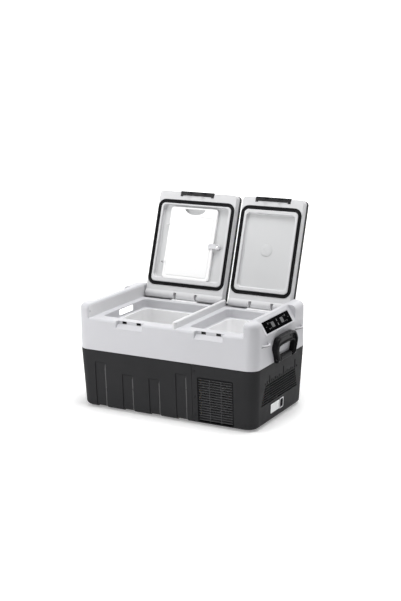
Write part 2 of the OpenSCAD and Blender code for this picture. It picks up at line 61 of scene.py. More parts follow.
# ------------------------------------------------------------------ lengths, in mm
HL, HW, SPLIT, RIM, TOP = 320.0, 192.0, 197.0, 301.0, 345.0
TAPER = 9.5
LEAN = math.atan(TAPER / SPLIT)
HY, HZ = 168.0, 314.6
LP = 304.0                       # inner face of a closed lid
COVER = 332.0                    # join between a lid's light and dark parts
LID_L, LID_R = (-272.0, 28.0), (46.0, 273.0)
LY0, LY1 = -189.0, 180.0
OPEN_L, OPEN_R = (-252.0, 10.0), (66.0, 252.0)
OY = (-144.0, 124.0)
LATCH_L, LATCH_R = -124.0, 160.0
HINGE_L, HINGE_R = -113.0, 170.0
TH = math.radians(108.5)
OPENED = (Matrix.Translation((0, HY, HZ)) @ Matrix.Rotation(-TH, 4, "X")
          @ Matrix.Translation((0, -HY, -HZ)))
CONSOLE = Matrix.Translation((310, 0, 316)) @ Matrix.Rotation(math.radians(58), 4, "Y")
CONSOLE_P = Matrix.Translation((310, -20, 316)) @ Matrix.Rotation(math.radians(58), 4, "Y")
WALL = (Matrix.Translation((HL, 0, SPLIT)) @ Matrix.Rotation(LEAN, 4, "Y")
        @ Matrix.Translation((0, 0, -SPLIT)))
FRONT = (Matrix.Translation((0, -HW, SPLIT)) @ Matrix.Rotation(LEAN, 4, "X")
         @ Matrix.Translation((0, 0, -SPLIT)))
MIRROR = Matrix.Scale(-1, 4, (1, 0, 0))


# ------------------------------------------------------------------ mesh tools
def link(me, name):
    o = bpy.data.objects.new(name, me)
    SCN.collection.objects.link(o)
    return o


def tidy(me, flat=False):
    bm = bmesh.new()
    bm.from_mesh(me)
    bmesh.ops.remove_doubles(bm, verts=bm.verts, dist=0.003)
    bmesh.ops.dissolve_degenerate(bm, edges=bm.edges, dist=0.002)
    if flat:
        bmesh.ops.dissolve_limit(bm, angle_limit=math.radians(0.08), verts=bm.verts,
                                 edges=bm.edges, delimit={"MATERIAL"})
    loose = [v for v in bm.verts if not v.link_faces]
    if loose:
        bmesh.ops.delete(bm, geom=loose, context="VERTS")
    bmesh.ops.recalc_face_normals(bm, faces=bm.faces)
    bm.to_mesh(me)
    bm.free()
    me.update()


def make(name, verts, faces):
    me = bpy.data.meshes.new(name)
    me.from_pydata([tuple(v) for v in verts], [], faces)
    tidy(me)
    return link(me, name)


def rr(x0, x1, y0, y1, r, n=8):
    pts = []
    r = max(r, 0.2)
    for cx, cy, a0 in ((x1 - r, y0 + r, -90), (x1 - r, y1 - r, 0), (x0 + r, y1 - r, 90), (x0 + r, y0 + r, 180)):
        for i in range(n + 1):
            a = math.radians(a0 + 90.0 * i / n)
            pts.append((cx + r * math.cos(a), cy + r * math.sin(a)))
    return pts


def loft(name, rings, cap0=True, cap1=True, wrap=False):
    n, m = len(rings[0]), len(rings)
    verts = [p for ring in rings for p in ring]
    faces = []
    for i in range(m if wrap else m - 1):
        a, b = i * n, ((i + 1) % m) * n
        for j in range(n):
            k = (j + 1) % n
            faces.append((a + j, a + k, b + k, b + j))
    if not wrap:
        if cap0:
            faces.append(tuple(reversed(range(n))))
        if cap1:
            faces.append(tuple((m - 1) * n + j for j in range(n)))
    return make(name, verts, faces)


def rrloft(name, b, r, prof, n=8, **kw):
    """rounded rectangles stacked along z; prof holds (inset, z)"""
    return loft(name, [[(x, y, z) for x, y in rr(b[0] + i, b[1] - i, b[2] + i, b[3] - i, r - i, n)] for i, z in prof], **kw)


def nest(name, rows, n=8, **kw):
    """rows of ((x0, x1, y0, y1), r, z)"""
    return loft(name, [[(x, y, z) for x, y in rr(*b, r, n)] for b, r, z in rows], **kw)


def arc(cu, cv, r, a0, a1, n):
    return [(cu + r * math.cos(math.radians(a0 + (a1 - a0) * i / n)),
             cv + r * math.sin(math.radians(a0 + (a1 - a0) * i / n))) for i in range(n + 1)]


def fillet(pts, r, n=6):
    """rounds the corners of a closed outline; r is one radius or one per corner"""
    out = []
    m = len(pts)
    for i in range(m):
        p, a, b = Vector(pts[i]), Vector(pts[i - 1]), Vector(pts[(i + 1) % m])
        ri = r[i] if isinstance(r, (list, tuple)) else r
        u, v = (a - p), (b - p)
        lu, lv = u.length, v.length
        u.normalize()
        v.normalize()
        ang = u.angle(v)
        if ri <= 0 or abs(ang - math.pi) < 0.02:
            out.append(tuple(p))
            continue
        t = min(ri / math.tan(ang / 2), 0.49 * lu, 0.49 * lv)
        rad = t * math.tan(ang / 2)
        c = p + (u + v).normalized() * (rad / math.sin(ang / 2))
        s, e = p + u * t - c, p + v * t - c
        a0 = math.atan2(s.y, s.x)
        d = math.atan2(s.x * e.y - s.y * e.x, s.dot(e))
        for k in range(n + 1):
            w = a0 + d * k / n
            out.append((c.x + rad * math.cos(w), c.y + rad * math.sin(w)))
    return out


def inset(pts, d):
    """moves a closed outline inwards by d"""
    area = sum(pts[i - 1][0] * pts[i][1] - pts[i][0] * pts[i - 1][1] for i in range(len(pts)))
    s = 1.0 if area > 0 else -1.0
    out = []
    m = len(pts)
    for i in range(m):
        t = (Vector(pts[(i + 1) % m]) - Vector(pts[i - 1])).normalized()
        out.append((pts[i][0] - s * t.y * d, pts[i][1] + s * t.x * d))
    return out


def prism(name, pts, axis, a0, a1):
    def at(u, v, a):
        return {"x": (a, u, v), "y": (u, a, v), "z": (u, v, a)}[axis]
    return loft(name, [[at(u, v, a0) for u, v in pts], [at(u, v, a1) for u, v in pts]])


def tower(name, pts, axis, rows):
    """an outline carried along an axis; rows hold (inset, place)"""
    def at(u, v, a):
        return {"x": (a, u, v), "y": (u, a, v), "z": (u, v, a)}[axis]
    return loft(name, [[at(u, v, a) for u, v in (inset(pts, i) if i else pts)] for i, a in rows])


def disc(r, n=48, u=0.0, v=0.0):
    return [(u + r * math.cos(2 * math.pi * i / n), v + r * math.sin(2 * math.pi * i / n)) for i in range(n)]


def turned(name, axis, u, v, prof, n=48):
    """a turned piece: prof holds (radius, place along the axis)"""
    def at(a, b, w):
        return {"x": (w, a, b), "y": (a, w, b), "z": (a, b, w)}[axis]
    return loft(name, [[at(*p, w) for p in disc(max(r, 0.01), n, u, v)] for r, w in prof])


def rod(name, axis, u, v, r, a0, a1, b=0.5, n=40):
    return turned(name, axis, u, v, [(r - b, a0), (r, a0 + b), (r, a1 - b), (r - b, a1)], n)


def bevel(o, w, seg=2, ang=30.0, where=None, concave=False):
    bm = bmesh.new()
    bm.from_mesh(o.data)
    lim = math.radians(ang)
    es = []
    for e in bm.edges:
        if len(e.link_faces) != 2:
            continue
        a = e.calc_face_angle_signed(0.0)
        if (a < -lim if concave else a > lim) and (where is None or where(e.verts[0].co, e.verts[1].co)):
            es.append(e)
    if es:
        bmesh.ops.bevel(bm, geom=es, offset=w, offset_type="OFFSET", segments=seg, profile=0.5,
                        affect="EDGES", clamp_overlap=False)
        bmesh.ops.recalc_face_normals(bm, faces=bm.faces)
    bm.to_mesh(o.data)
    bm.free()
    return o


def block(name, x0, x1, y0, y1, z0, z1, b=0.0, seg=3):
    o = prism(name, [(x0, y0), (x1, y0), (x1, y1), (x0, y1)], "z", z0, z1)
    return bevel(o, b, seg) if b else o


def place(o, m):
    o.data.transform(m)
    if m.determinant() < 0:
        o.data.flip_normals()
    return o


def drop(*objs):
    for c in objs:
        me = c.data
        bpy.data.objects.remove(c)
        bpy.data.meshes.remove(me)


def boole(o, others, op, flat=False):
    for c in others:
        m = o.modifiers.new("b", "BOOLEAN")
        m.operation, m.solver, m.object = op, "EXACT", c
    dg = bpy.context.evaluated_depsgraph_get()
    dg.update()
    me = bpy.data.meshes.new_from_object(o.evaluated_get(dg))
    old = o.data
    o.modifiers.clear()
    o.data = me
    bpy.data.meshes.remove(old)
    drop(*others)
    tidy(o.data, flat)
    return o


def cut(o, *others):
    return boole(o, others, "DIFFERENCE")


def join(o, *others):
    return boole(o, others, "UNION")


def merge(name, objs):
    """several closed solids kept in one mesh"""
    bm = bmesh.new()
    for ob in objs:
        bm.from_mesh(ob.data)
    me = bpy.data.meshes.new(name)
    bm.to_mesh(me)
    bm.free()
    drop(*objs)
    return link(me, name)


# ------------------------------------------------------------------ materials
def base_nodes(name):
    m = bpy.data.materials.new(name)
    m.use_nodes = True
    nt = m.node_tree
    nt.nodes.clear()
    out = nt.nodes.new("ShaderNodeOutputMaterial")
    b = nt.nodes.new("ShaderNodeBsdfPrincipled")
    nt.links.new(b.outputs[0], out.inputs[0])
    tc = nt.nodes.new("ShaderNodeTexCoord")
    return m, nt, b, tc.outputs["Object"]


def noise(nt, vec, scale, detail=3.0, rough=0.55, stretch=None):
    if stretch:
        mp = nt.nodes.new("ShaderNodeMapping")
        mp.inputs["Scale"].default_value = stretch
        nt.links.new(vec, mp.inputs["Vector"])
        vec = mp.outputs[0]
    n = nt.nodes.new("ShaderNodeTexNoise")
    n.inputs["Scale"].default_value = scale
    n.inputs["Detail"].default_value = detail
    n.inputs["Roughness"].default_value = rough
    nt.links.new(vec, n.inputs["Vector"])
    return n.outputs["Fac"]


def tone(nt, fac, lo, hi, a=0.3, c=0.7):
    r = nt.nodes.new("ShaderNodeValToRGB")
    r.color_ramp.elements[0].position = a
    r.color_ramp.elements[0].color = (*lo, 1)
    r.color_ramp.elements[1].position = c
    r.color_ramp.elements[1].color = (*hi, 1)
    nt.links.new(fac, r.inputs[0])
    return r.outputs[0]


def spread(nt, fac, lo, hi):
    r = nt.nodes.new("ShaderNodeMapRange")
    r.inputs["From Min"].default_value = 0.3
    r.inputs["From Max"].default_value = 0.7
    r.inputs["To Min"].default_value = lo
    r.inputs["To Max"].default_value = hi
    nt.links.new(fac, r.inputs["Value"])
    return r.outputs[0]


def scaled(col, k):
    return tuple(min(1.0, c * k) for c in col)


def plastic(name, col, rough=0.42, grain=0.12, cell=1500.0, vary=0.025, spec=0.5, coat=0.0, depth=0.00008,
            metallic=0.0, swirl=7.0, stretch=None, sheen=0.0, sub=0.0, ior=1.38, patchy=1.0):
    """moulded plastic: slow tone drift, patchy gloss and a fine moulded grain"""
    m, nt, b, obj = base_nodes(name)
    slow = noise(nt, obj, swirl, 2.0)
    nt.links.new(tone(nt, slow, scaled(col, 1 - vary), scaled(col, 1 + vary)), b.inputs["Base Color"])
    patch = noise(nt, obj, 38.0, 4.0, 0.6, stretch)
    nt.links.new(spread(nt, patch, rough - 0.05 * patchy, rough + 0.06 * patchy), b.inputs["Roughness"])
    fine = noise(nt, obj, cell, 1.0, 0.5, stretch)
    bp = nt.nodes.new("ShaderNodeBump")
    bp.inputs["Strength"].default_value = grain
    bp.inputs["Distance"].default_value = depth
    nt.links.new(fine, bp.inputs["Height"])
    nt.links.new(bp.outputs[0], b.inputs["Normal"])
    b.inputs["Specular IOR Level"].default_value = spec
    b.inputs["IOR"].default_value = ior
    b.inputs["Metallic"].default_value = metallic
    b.inputs["Coat Weight"].default_value = coat
    b.inputs["Coat Roughness"].default_value = 0.08
    if sheen:
        b.inputs["Sheen Weight"].default_value = sheen
        b.inputs["Sheen Roughness"].default_value = 0.4
    if sub:
        b.inputs["Subsurface Weight"].default_value = sub
        b.inputs["Subsurface Radius"].default_value = (0.004, 0.004, 0.004)
        b.inputs["Subsurface Scale"].default_value = 0.5
    return m


def metal(name, col, rough=0.3, stretch=(1, 1, 30), vary=0.06, cell=240.0, grain=0.2):
    """drawn or ground metal: streaks along one direction"""
    m, nt, b, obj = base_nodes(name)
    st = noise(nt, obj, cell, 3.0, 0.6, stretch)
    nt.links.new(tone(nt, st, scaled(col, 1 - vary), scaled(col, 1 + vary)), b.inputs["Base Color"])
    nt.links.new(spread(nt, st, rough - 0.07, rough + 0.09), b.inputs["Roughness"])
    bp = nt.nodes.new("ShaderNodeBump")
    bp.inputs["Strength"].default_value = grain
    bp.inputs["Distance"].default_value = 0.00006
    nt.links.new(st, bp.inputs["Height"])
    nt.links.new(bp.outputs[0], b.inputs["Normal"])
    b.inputs["Metallic"].default_value = 1.0
    return m


def foam_mat(name, col):
    m, nt, b, obj = base_nodes(name)
    v = nt.nodes.new("ShaderNodeTexVoronoi")
    v.inputs["Scale"].default_value = 520
    nt.links.new(obj, v.inputs["Vector"])
    nt.links.new(tone(nt, v.outputs["Distance"], scaled(col, 0.86), scaled(col, 1.05), 0.1, 0.8), b.inputs["Base Color"])
    nt.links.new(spread(nt, noise(nt, obj, 60), 0.78, 0.92), b.inputs["Roughness"])
    bp = nt.nodes.new("ShaderNodeBump")
    bp.inputs["Strength"].default_value = 0.5
    bp.inputs["Distance"].default_value = 0.0005
    nt.links.new(v.outputs["Distance"], bp.inputs["Height"])
    nt.links.new(bp.outputs[0], b.inputs["Normal"])
    return m


def board_mat(name):
    """solder mask over copper tracks laid out on a square pitch"""
    m, nt, b, obj = base_nodes(name)
    br = nt.nodes.new("ShaderNodeTexBrick")
    br.inputs["Scale"].default_value = 90
    br.inputs["Mortar Size"].default_value = 0.012
    br.inputs["Color1"].default_value = (0.012, 0.10, 0.045, 1)
    br.inputs["Color2"].default_value = (0.016, 0.13, 0.06, 1)
    br.inputs["Mortar"].default_value = (0.05, 0.24, 0.10, 1)
    nt.links.new(obj, br.inputs["Vector"])
    nt.links.new(br.outputs["Color"], b.inputs["Base Color"])
    nt.links.new(spread(nt, noise(nt, obj, 80), 0.25, 0.4), b.inputs["Roughness"])
    return m


M = {}
M["grey_shell"] = plastic("grey_shell", (0.60, 0.60, 0.625), 0.40, 0.10, vary=0.015)
M["charcoal_shell"] = plastic("charcoal_shell", (0.033, 0.033, 0.0345), 0.42, 0.30, 1150, 0.05, ior=1.10, depth=0.00012)
# painted light: a lighter copy of the shell grey for the inner post and divider faces, standing in for bounce light
M["grey_painted_bounce"] = plastic("grey_painted_bounce", (0.74, 0.74, 0.75), 0.34, 0.06, vary=0.012)
# painted highlight: a glossier copy of the charcoal for the channel shoulders, so they catch a glint line
M["charcoal_painted_glint"] = plastic("charcoal_painted_glint", (0.033, 0.033, 0.0345), 0.30, 0.10, 1150, 0.05, ior=1.60, depth=0.00006)
M["charcoal_grille"] = plastic("charcoal_grille", (0.060, 0.060, 0.063), 0.42, 0.25, 1150, 0.05)
M["grille_frame"] = plastic("grille_frame", (0.009, 0.009, 0.010), 0.46, 0.25, 1150, 0.05, ior=1.12)
M["zinc_steel"] = plastic("coated_base_sheet", (0.05, 0.05, 0.052), 0.45, 0.35, 700, 0.08, depth=0.00015)
M["rubber_black"] = plastic("rubber_black", (0.009, 0.009, 0.010), 0.50, 0.35, 900, 0.15, ior=1.2)
M["liner_white"] = plastic("liner_white", (0.92, 0.92, 0.925), 0.50, 0.02, 500, vary=0.008, spec=0.3, patchy=0.2)
M["foam"] = foam_mat("insulating_foam", (0.78, 0.70, 0.42))
M["evaporator_sheet"] = metal("evaporator_sheet", (0.78, 0.79, 0.81), 0.34, (1, 1, 26))
M["compressor_black"] = plastic("compressor_paint", (0.018, 0.018, 0.020), 0.30, 0.4, 260, 0.12, coat=0.25, depth=0.0003)
M["fin_aluminium"] = metal("fin_aluminium", (0.80, 0.81, 0.83), 0.28, (1, 20, 1))
M["copper_tube"] = metal("copper_tube", (0.78, 0.44, 0.27), 0.24, (24, 1, 1), 0.12)
M["black_plastic"] = plastic("black_plastic", (0.012, 0.012, 0.013), 0.42, 0.2, 1200, 0.08, ior=1.18)
M["circuit_board"] = board_mat("circuit_board")
M["grey_plastic"] = plastic("grey_plastic", (0.63, 0.63, 0.65), 0.40, 0.10, vary=0.02)
# painted shade: a dark copy of the loop grey for the lower faces of the loops
M["loop_shade"] = plastic("loop_painted_shade", (0.10, 0.10, 0.105), 0.6, 0.10, ior=1.2)
M["contact_brass"] = metal("contact_brass", (0.83, 0.68, 0.36), 0.22, (20, 1, 1))
M["label_white"] = plastic("blank_plate", (0.82, 0.84, 0.84), 0.26, 0.06, 900, 0.02, coat=0.2)
M["panel_black"] = plastic("panel_gloss", (0.0022, 0.0022, 0.0026), 0.16, 0.03, 300, 0.2, ior=1.015)
M["display_grey"] = plastic("display_segment", (0.15, 0.152, 0.155), 0.35, 0.05, 600, 0.05, ior=1.08)
M["lens_white"] = plastic("lamp_lens", (0.95, 0.95, 0.96), 0.35, 0.05, 800, 0.01, sub=0.1)
for nd in M["lens_white"].node_tree.nodes:          # the lamp is lit while the lids stand open
    if nd.type == "BSDF_PRINCIPLED":
        nd.inputs["Emission Color"].default_value = (1.0, 1.0, 1.0, 1)
        nd.inputs["Emission Strength"].default_value = 1.1
M["hinge_white"] = plastic("hinge_white", (0.84, 0.84, 0.85), 0.36, 0.08, vary=0.015)
M["pin_steel"] = metal("pin_steel", (0.62, 0.62, 0.64), 0.25, (30, 1, 1))
M["handle_black"] = plastic("handle_black", (0.009, 0.009, 0.010), 0.30, 0.30, 1100, 0.08, ior=1.20, depth=0.00012)
M["screw_dark"] = metal("screw_dark", (0.035, 0.035, 0.037), 0.40, (1, 30, 1))
M["lid_grey"] = plastic("lid_grey", (0.64, 0.64, 0.65), 0.40, 0.10, vary=0.015)
M["lid_black"] = plastic("lid_black", (0.014, 0.014, 0.015), 0.48, 0.25, 1400, 0.03, ior=1.2, depth=0.0001, patchy=0.2)
M["board_white"] = plastic("board_polyethylene", (0.95, 0.95, 0.95), 0.38, 0.35, 420, 0.012, depth=0.00012, sub=0.05)
M["clip_grey"] = plastic("clip_grey", (0.66, 0.66, 0.68), 0.36, 0.08, vary=0.02)
M["latch_black"] = plastic("latch_black", (0.012, 0.012, 0.013), 0.32, 0.18, 1200, 0.08, ior=1.26)
M["recess_grey"] = plastic("recess_grey", (0.60, 0.605, 0.61), 0.46, 0.22, 900, 0.012)
M["symbol_white"] = plastic("symbol_ink", (0.24, 0.245, 0.25), 0.5, 0.05, 900, 0.03)
M["socket_dark"] = plastic("socket_dark", (0.03, 0.03, 0.032), 0.5, 0.1, 900, 0.08)


def put(o, mats, body, reps=(), m=None, ang=32.0):
    """scales a finished shape to metres, gives it its finish and hangs it on its body"""
    if m is not None:
        place(o, m)
    o.data.transform(Matrix.Scale(0.001, 4))
    me = o.data
    mats = mats if isinstance(mats, (list, tuple)) else [mats]
    keep = [min(p.material_index, len(mats) - 1) for p in me.polygons]
    me.materials.clear()
    for x in mats:
        me.materials.append(M[x])
    me.polygons.foreach_set("material_index", keep)
    me.polygons.foreach_set("use_smooth", [True] * len(me.polygons))
    me.set_sharp_from_angle(angle=math.radians(ang))
    w = o.modifiers.new("normals", "WEIGHTED_NORMAL")
    w.keep_sharp = True
    w.weight = 50
    me.update()
    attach(o, body)
    if reps:
        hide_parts(*((reps,) if isinstance(reps, str) else reps))
    return o


def by_place(o, test):
    """second material on the faces whose centre passes the test"""
    for p in o.data.polygons:
        p.material_index = 1 if test(p.center, p.normal) else 0


# ------------------------------------------------------------------ upper shell
def upper_shell():
    q16 = [(16 - 16 * math.cos(math.radians(a)), 329 + 16 * math.sin(math.radians(a))) for a in range(9, 91, 9)]
    o = rrloft("upper_shell_skin", (-HL, HL, -HW, HW), 36,
               [(1.0, 197.2), (0.0, 198.4), (0.0, 286.0), (0.0, 301.0), (0.0, 329.0)] + q16, n=12)
    cut(o, block("c1", -275, 275, -300, 157, RIM, 400), block("c2", -275, 275, 150, 188.5, 286, 400), block("c2", -275, 275, 150, 300, 293, 400))
    bevel(o, 7.5, 7, 20, lambda a, b: abs(abs(a.x) - 275) < 0.05 and abs(abs(b.x) - 275) < 0.05)
    # divider between the compartments
    rib = rrloft("c3", (31, 43, -190, 156.9), 5.9, [(0, 292), (0, 318.2)] +
                 [(4.8 - 4.8 * math.cos(math.radians(a)), 318.2 + 4.8 * math.sin(math.radians(a))) for a in (18, 36, 54, 72, 90)], n=8)
    join(o, rib)
    # leaning console faces at both ends, blended into the front posts
    cuts = []
    prof = fillet([(-156, 62), (-143, 0), (98, 0), (98, 62)], [0, 20, 2.5, 0], 9)
    for s in (1, -1):
        c = prism("c4", prof, "x", -82, 82)
        place(c, CONSOLE)
        if s < 0:
            place(c, MIRROR)
        cuts.append(c)
    cut(o, *cuts)

    def on_slope(p):
        q = CONSOLE.inverted() @ Vector((abs(p.x), p.y, p.z))
        return abs(q.z) < 0.05
    bevel(o, 2.6, 4, 20, lambda a, b: on_slope(a) and on_slope(b) and min(a.y, b.y) > -124)
    # compartment mouths, latch pockets, keeper holes, locating notches and the hollow inside
    cuts = [prism("m", rr(c[0] - 2.4, c[1] + 2.4, OY[0] - 2.4, OY[1] + 2.4, 20, 12), "z", 240, 320) for c in (OPEN_L, OPEN_R)]
    wedge = fillet([(-205, 276.8), (-192, 278.2), (-174, 290), (-174, 310), (-205, 310)], [0, 0, 3.0, 0, 0], 5)
    for a, b in ((-173, -76), (109, 208)):
        cuts.append(prism("p", wedge, "x", a, b))
    cut(o, *cuts)
    bevel(o, 1.1, 3, 30, lambda a, b: (abs(a.z - RIM) < 0.05 and abs(b.z - RIM) < 0.05 and abs(a.x) < 276 and abs(b.x) < 276)
          or (abs(a.y + HW) < 0.05 and abs(b.y + HW) < 0.05 and a.z > 270 and b.z > 270 and abs(a.x) < 272 and abs(b.x) < 272)
          or (a.z > 285.9 and b.z > 285.9 and a.y > 156 and b.y > 156 and abs(a.x) < 274 and abs(b.x) < 274))
    cuts = []
    for c in (LATCH_L, LATCH_R):
        for s in (-1, 1):
            cuts.append(block("k", c + s * 26 - 8, c + s * 26 + 8, -176, -164.5, 291.5, 299.4))
    for x in (-275, 275):
        cuts.append(block("n", x - 1.5, x + 1.5, -186, -179, 317, 325, 0.6, 2))
    for x in (31, 43):
        cuts.append(block("n", x - 1.5, x + 1.5, -186, -179, 312, 320, 0.6, 2))
    cuts.append(rrloft("h", (-HL + 4, HL - 4, -HW + 4, HW - 4), 32, [(0, 190), (0, 276)], n=12))
    cuts.append(block("h2", -279, 279, -168, 154, 275.5, 297))
    cut(o, *cuts)
    # painted light: the inner faces of the posts and the divider get a lighter copy of the shell grey, standing in for
    # bounce light from the tubs
    by_place(o, lambda c, n: c.z > 302 and c.y < 157.5 and ((abs(n.x) > 0.6 and 266 < abs(c.x) < 276 and n.x * c.x < 0) or 30 < c.x < 44))
    return put(o, ["grey_shell", "grey_painted_bounce"], "cabinet", "upper_shell")


upper_shell()


# ------------------------------------------------------------------ lower shell and machine cover
def tapered(name, s, rows, n=12):
    """the leaning body; rows hold (extra inset, z)"""
    rings = []
    for e, z in rows:
        i = s + TAPER * (1 - z / SPLIT)
        rings.append([(x, y, z) for x, y in rr(-HL + i + e, HL - i - e, -HW + i + e, HW - i - e, 36 - s - e, n)])
    return loft(name, rings)


def lower_skin(name):
    R = 12.5
    foot = [(R - R * math.sin(math.radians(a)), 5 + R - R * math.cos(math.radians(a))) for a in range(0, 91, 10)]
    o = tapered(name, 0, foot + [(0, 60), (0, 130), (0, 195.6), (0.9, 196.9)])
    inner = tapered("i", 4, [(12.5, 3), (12.5, 8.9), (9.5, 9.6), (0.4, 20), (0, 26), (0, 200)])
    return cut(o, inner)


def dent(x0, x1, zt):
    """a shallow upright channel that runs off under the bottom edge"""
    R = 12.5

    def side(d):
        pts = [(d, zt - 6.0), (d, 5 + R)]
        pts += [(R - (R - d) * math.cos(math.radians(a)), 5 + R - (R - d) * math.sin(math.radians(a))) for a in range(10, 91, 10)]
        return pts + [(44, 5 + d), (44, -20), (-12, -20), (-12, zt - 6.0)]
    parts = []
    rings = [[(x, y, z) for y, z in side(d)] for x, d in ((x0, 0.0), (x0 + 0.4, 2.4), (x0 + 0.9, 3.0), (x0 + 1.6, 2.9), (x0 + 2.0, 2.2), (x1 - 4.2, 2.2), (x1 - 3.2, 2.0), (x1 - 0.4, 0.5), (x1 + 1.0, 0.02), (x1 + 1.1, -0.4))]
    parts.append(loft("d", rings))
    pts = fillet([(x0, zt - 12), (x1 - 0.4, zt - 12), (x1 - 0.4, zt), (x0, zt)], [0, 0, 2.5, 1.2], 4)
    top = tower("d", pts, "y", [(0.0, -6.0), (0.0, 0.0), (0.4, 1.9), (0.8, 2.2)])
    line = block("d", x0 + 0.8, x1 - 2.6, 1.0, 3.0, zt - 2.3, zt - 0.9, 0.4, 2)
    return [place(join(parts[0], top, line), FRONT)]


def lower_shell():
    o = lower_skin("lower_shell_skin")
    cut(o, block("x", 99.0, 400, -300, 300, -10, 250))
    turn = Matrix.Rotation(math.pi, 4, "Z")
    for x0, x1, zt in ((-256, -217, 159.5), (-155, -116, 129), (-57, -18, 128.5), (41, 79, 159)):
        cut(o, *dent(x0, x1, zt))
        cut(o, *[place(d, turn) for d in dent(-x1, -x0, zt)])
    bevel(o, 0.7, 2, 40, lambda a, b: abs(a.x - 99) < 0.05 and abs(b.x - 99) < 0.05)
    # painted highlight: the right shoulders of the channels get a glossier copy of the charcoal, so a bright glint line
    # shows along them
    by_place(o, lambda c, n: c.z < 165 and ((n.x < -0.25 and n.y < -0.3 and -220 < c.x < 90 and c.y < -150)
                                            or (n.x > 0.25 and n.y > 0.3 and -262 < c.x < 60 and c.y > 150)))
    return put(o, ["charcoal_shell", "charcoal_painted_glint"], "cabinet", "lower_shell")


def slot_y(y0, y1, z0, z1, r):
    return prism("s", rr(y0, y1, z0, z1, r, 4), "x", 298, 332)


def machine_cover():
    o = lower_skin("machine_cover_skin")
    cuts = [block("x", -400, 99.5, -300, 300, -10, 250),
            place(prism("g", rr(118, 243, 9, 157, 5, 5), "y", -8, 22), FRONT)]
    cut(o, *cuts)
    bevel(o, 0.7, 2, 40, lambda a, b: abs(a.x - 99.5) < 0.05 and abs(b.x - 99.5) < 0.05)
    cuts = []
    for i in range(8):
        cuts.append(slot_y(-138 + 3 * i, 128 - 3 * i, 75 + 8.3 * i - 2.6, 75 + 8.3 * i + 2.6, 2.0))
    for i in range(17):
        zt = 145 + 4 * (i % 2) + (18 if i in (2, 9, 15) else 0)
        cuts.append(slot_y(-120 + 14.6 * i, -113 + 14.6 * i, 138.4, zt, 1.9))
    cuts.append(place(prism("w", rr(-1.4, 23.9, 31.6, 61.4, 2, 4), "x", -12, 10), WALL))
    for z in (28, 91, 175):
        cuts.append(place(turned("v", "y", 109, z, [(2.2, -8), (2.2, 20)], 24), FRONT))
        cuts.append(place(turned("v", "y", 109, z, [(4.4, -8), (4.4, 0.0), (3.9, 0.7)], 32), FRONT))
    cut(o, *cuts)
    return put(o, "charcoal_shell", "cabinet", "machine_cover")


lower_shell()
machine_cover()


def front_grille():
    rim = []
    fr = prism("front_grille_frame", rr(118.3, 242.7, 9.5, 156.5, 4.6, 5), "y", 0.5, 7.0)
    cut(fr, prism("f", rr(122, 239, 13, 153, 3.0, 4), "y", -2, 9))
    bevel(fr, 0.6, 2, 40)
    place(fr, FRONT)
    put(fr, "grille_frame", "cabinet", "front_grille")
    for i in range(17):
        z = 18.8 + 8.2 * i
        # louvre blade: leans down and back, rounded nose
        pts = fillet([(1.2, z - 0.9), (2.6, z - 1.3), (6.6, z + 2.2), (6.2, z + 3.2), (1.4, z + 0.8)], 0.5, 3)
        rim.append(prism("l", pts, "x", 121.7, 239.3))
    for x in (160, 200):
        rim.append(block("l", x - 0.9, x + 0.9, 2.6, 6.8, 12.6, 153.4, 0.3, 2))
    o = merge("front_grille_louvres", rim)
    place(o, FRONT)
    put(o, "charcoal_grille", "cabinet", "front_grille")


front_grille()


def underside():
    o = rrloft("base_sheet", (-HL + 25.5, HL - 25.5, -HW + 25.5, HW - 25.5), 20, [(1.0, 6.0), (0, 6.8), (0, 8.4), (1, 9)], n=8)
    cuts = [turned("h", "z", x, y, [(2.6, 0), (2.6, 12)], 32) for x, y in ((-250, -130), (250, -130), (-250, 130), (250, 130), (0, 0))]
    for k in range(6):
        cuts.append(prism("h", rr(150 + 14 * k, 156 + 14 * k, -60, 10, 2.9, 4), "z", 0, 12))
    for x in (-180, -60, 60):
        cuts.append(rrloft("h", (x - 40, x + 40, -90, 90), 10, [(0, 5.0), (0, 6.2), (1.5, 7.2)], n=5))
    cut(o, *cuts)
    put(o, "zinc_steel", "cabinet", "base_plate")
    feet = []
    for x, y in ((-250, -130), (250, -130), (-250, 130), (250, 130), (0, 0)):
        prof = [(0.01, 1.6), (4.0, 1.6), (5.0, 1.0), (6.2, 0.0), (12.6, 0.0), (13.6, 0.35), (15.0, 3.6), (15.0, 5.0), (14.2, 5.9), (2.5, 5.9), (2.5, 9.2), (4.8, 9.2), (4.6, 10.6), (0.01, 10.8)]
        feet.append(turned("f", "z", x, y, prof, 48))
    put(merge("rubber_foot_set", feet), "rubber_black", "cabinet", "rubber_feet")


underside()


